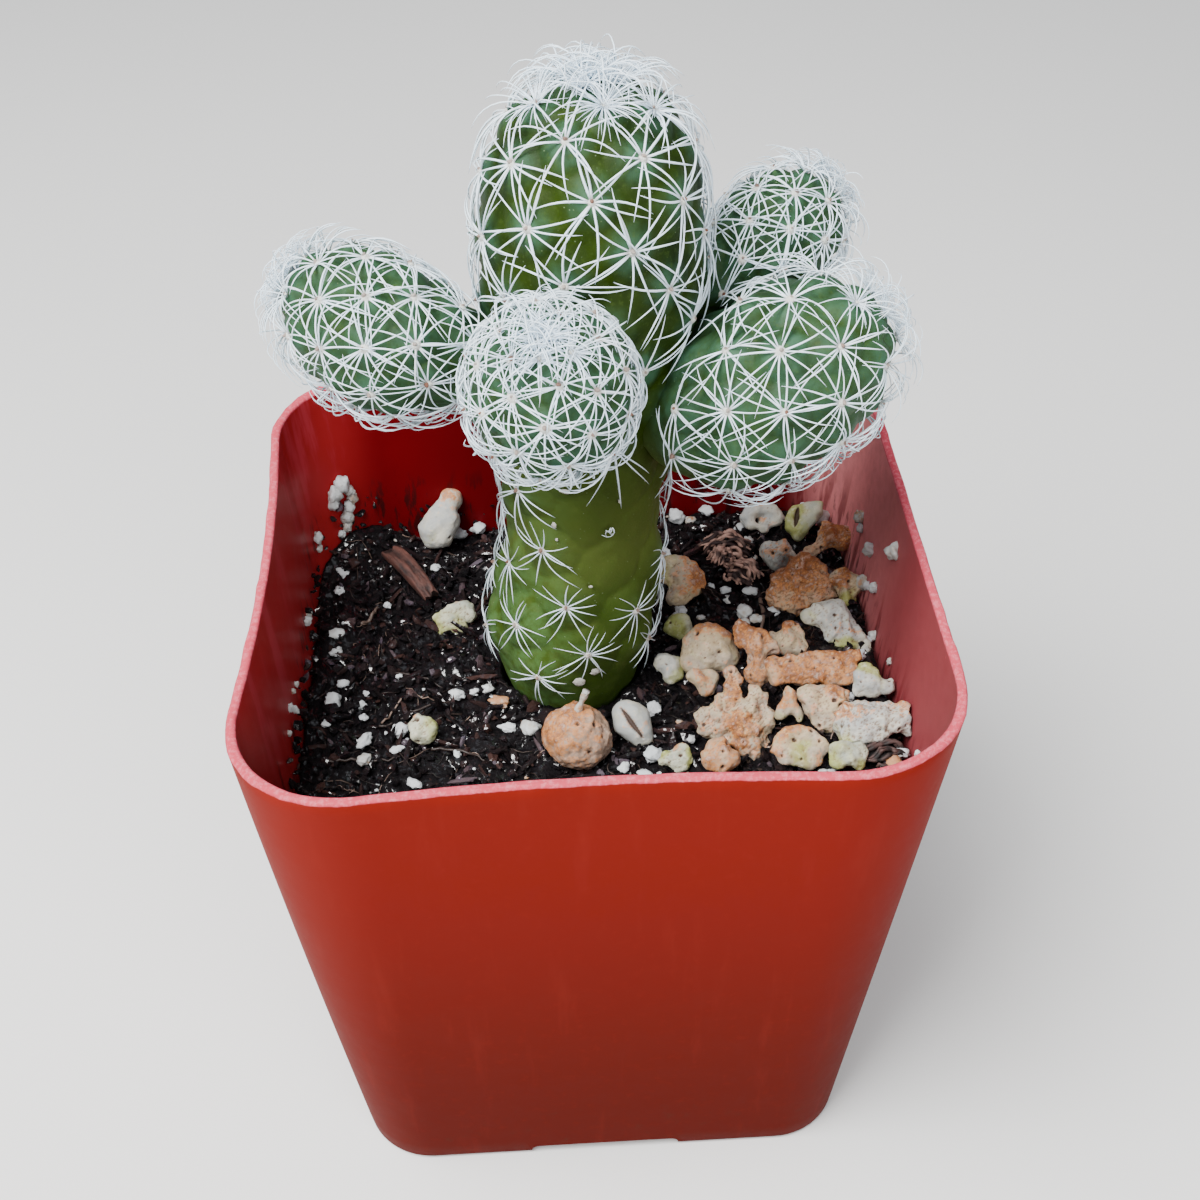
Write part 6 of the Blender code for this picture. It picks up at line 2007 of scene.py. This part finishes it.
@dataclass(frozen=True)
class Stage:
    """Pale floor, soft light and the photograph's viewpoint.

    Args:
        azimuth: heading of the view in degrees, 0 along +Y.
        elevation: height of the view over the horizon in degrees.
        roll: the camera's tilt in degrees.
        distance: from the target to the camera.
        target: how far right of the middle the target is, and its height.
        focal: focal length in pixels of a frame that is frame_width wide.
        aim: height that the lights face.
    """

    azimuth: float = -2.36
    elevation: float = 41.01
    roll: float = -1.18
    distance: float = 161.03
    target: Pair = (1.07, 55.39)
    focal: float = 1675.42
    frame_width: float = 1200.0
    sensor: float = 36.0
    aim: float = 60.0
    floor_half: float = 3000.0
    floor_colour: Colour = (0.78, 0.78, 0.775)
    sky_colour: Colour = (0.90, 0.94, 1.0)
    sky_power: float = 0.44

    def camera(self) -> None:
        """Place the camera: back along the view from the target, rolled about the view axis."""
        a, e, r = (math.radians(v) for v in (self.azimuth, self.elevation, self.roll))
        back = Vector((math.sin(a) * math.cos(e), -math.cos(a) * math.cos(e), math.sin(e)))
        level = Vector((math.cos(a), math.sin(a), 0.0))
        up = back.cross(level)
        right = level * math.cos(r) + up * math.sin(r)
        lens = bpy.data.cameras.new("camera")
        lens.sensor_width = self.sensor
        lens.lens = self.focal / self.frame_width * self.sensor
        lens.clip_start, lens.clip_end = 0.005, 10.0
        camera = placed("camera", lens)
        place = (level * self.target[0] + Vector((0, 0, self.target[1])) + back * self.distance) * MM
        turn = Matrix((right, back.cross(right), back)).transposed().to_4x4()
        camera.matrix_world = Matrix.Translation(place) @ turn
        bpy.context.scene.camera = camera

    def light(self, name: str, place: Triple, size: float, power: float, colour: Colour) -> None:
        """A square soft light at a place in millimetres that faces the plant."""
        lamp = bpy.data.lights.new(name, "AREA")
        lamp.shape, lamp.size, lamp.energy, lamp.color = "SQUARE", size * MM, power, colour
        made = placed(name, lamp)
        made.location = Vector(place) * MM
        away = Vector(place) * MM - Vector((0, 0, self.aim * MM))
        made.rotation_euler = away.to_track_quat("Z", "Y").to_euler()

    def build(self) -> None:
        """Build the floor, the world, the lights and the camera."""
        mesh = bpy.data.meshes.new("floor")
        half = self.floor_half * MM
        mesh.from_pydata([(-half, -half, 0), (half, -half, 0), (half, half, 0), (-half, half, 0)], [],
                         [(0, 1, 2, 3)])
        mesh.materials.append(Shader("pale_floor").finish(self.floor_colour, 0.8, Specular_IOR_Level=0.2))
        floor = placed("floor", mesh)
        world = bpy.data.worlds.new("soft_room")
        world.use_nodes = True
        sky = world.node_tree.nodes["Background"]
        sky.inputs["Color"].default_value = (*self.sky_colour, 1.0)
        sky.inputs["Strength"].default_value = self.sky_power
        bpy.context.scene.world = world
        self.light("window", (-170.0, -130.0, 440.0), 300.0, 6.2, (1.0, 0.99, 0.97))
        self.light("front_fill", (160.0, -380.0, 260.0), 300.0, 1.5, (1.0, 0.98, 0.96))
        self.camera()


def main() -> None:
    """Build the whole scene in order."""
    logging.basicConfig(level=logging.INFO, format="%(message)s")
    cactus = Cactus()
    pot = Pot()
    soil = Soil(pot, cactus.stem())
    Stage().build()
    pot.build()
    soil.build()
    LooseGrains().build()
    cactus.build(soil)


if __name__ == "__main__":
    main()
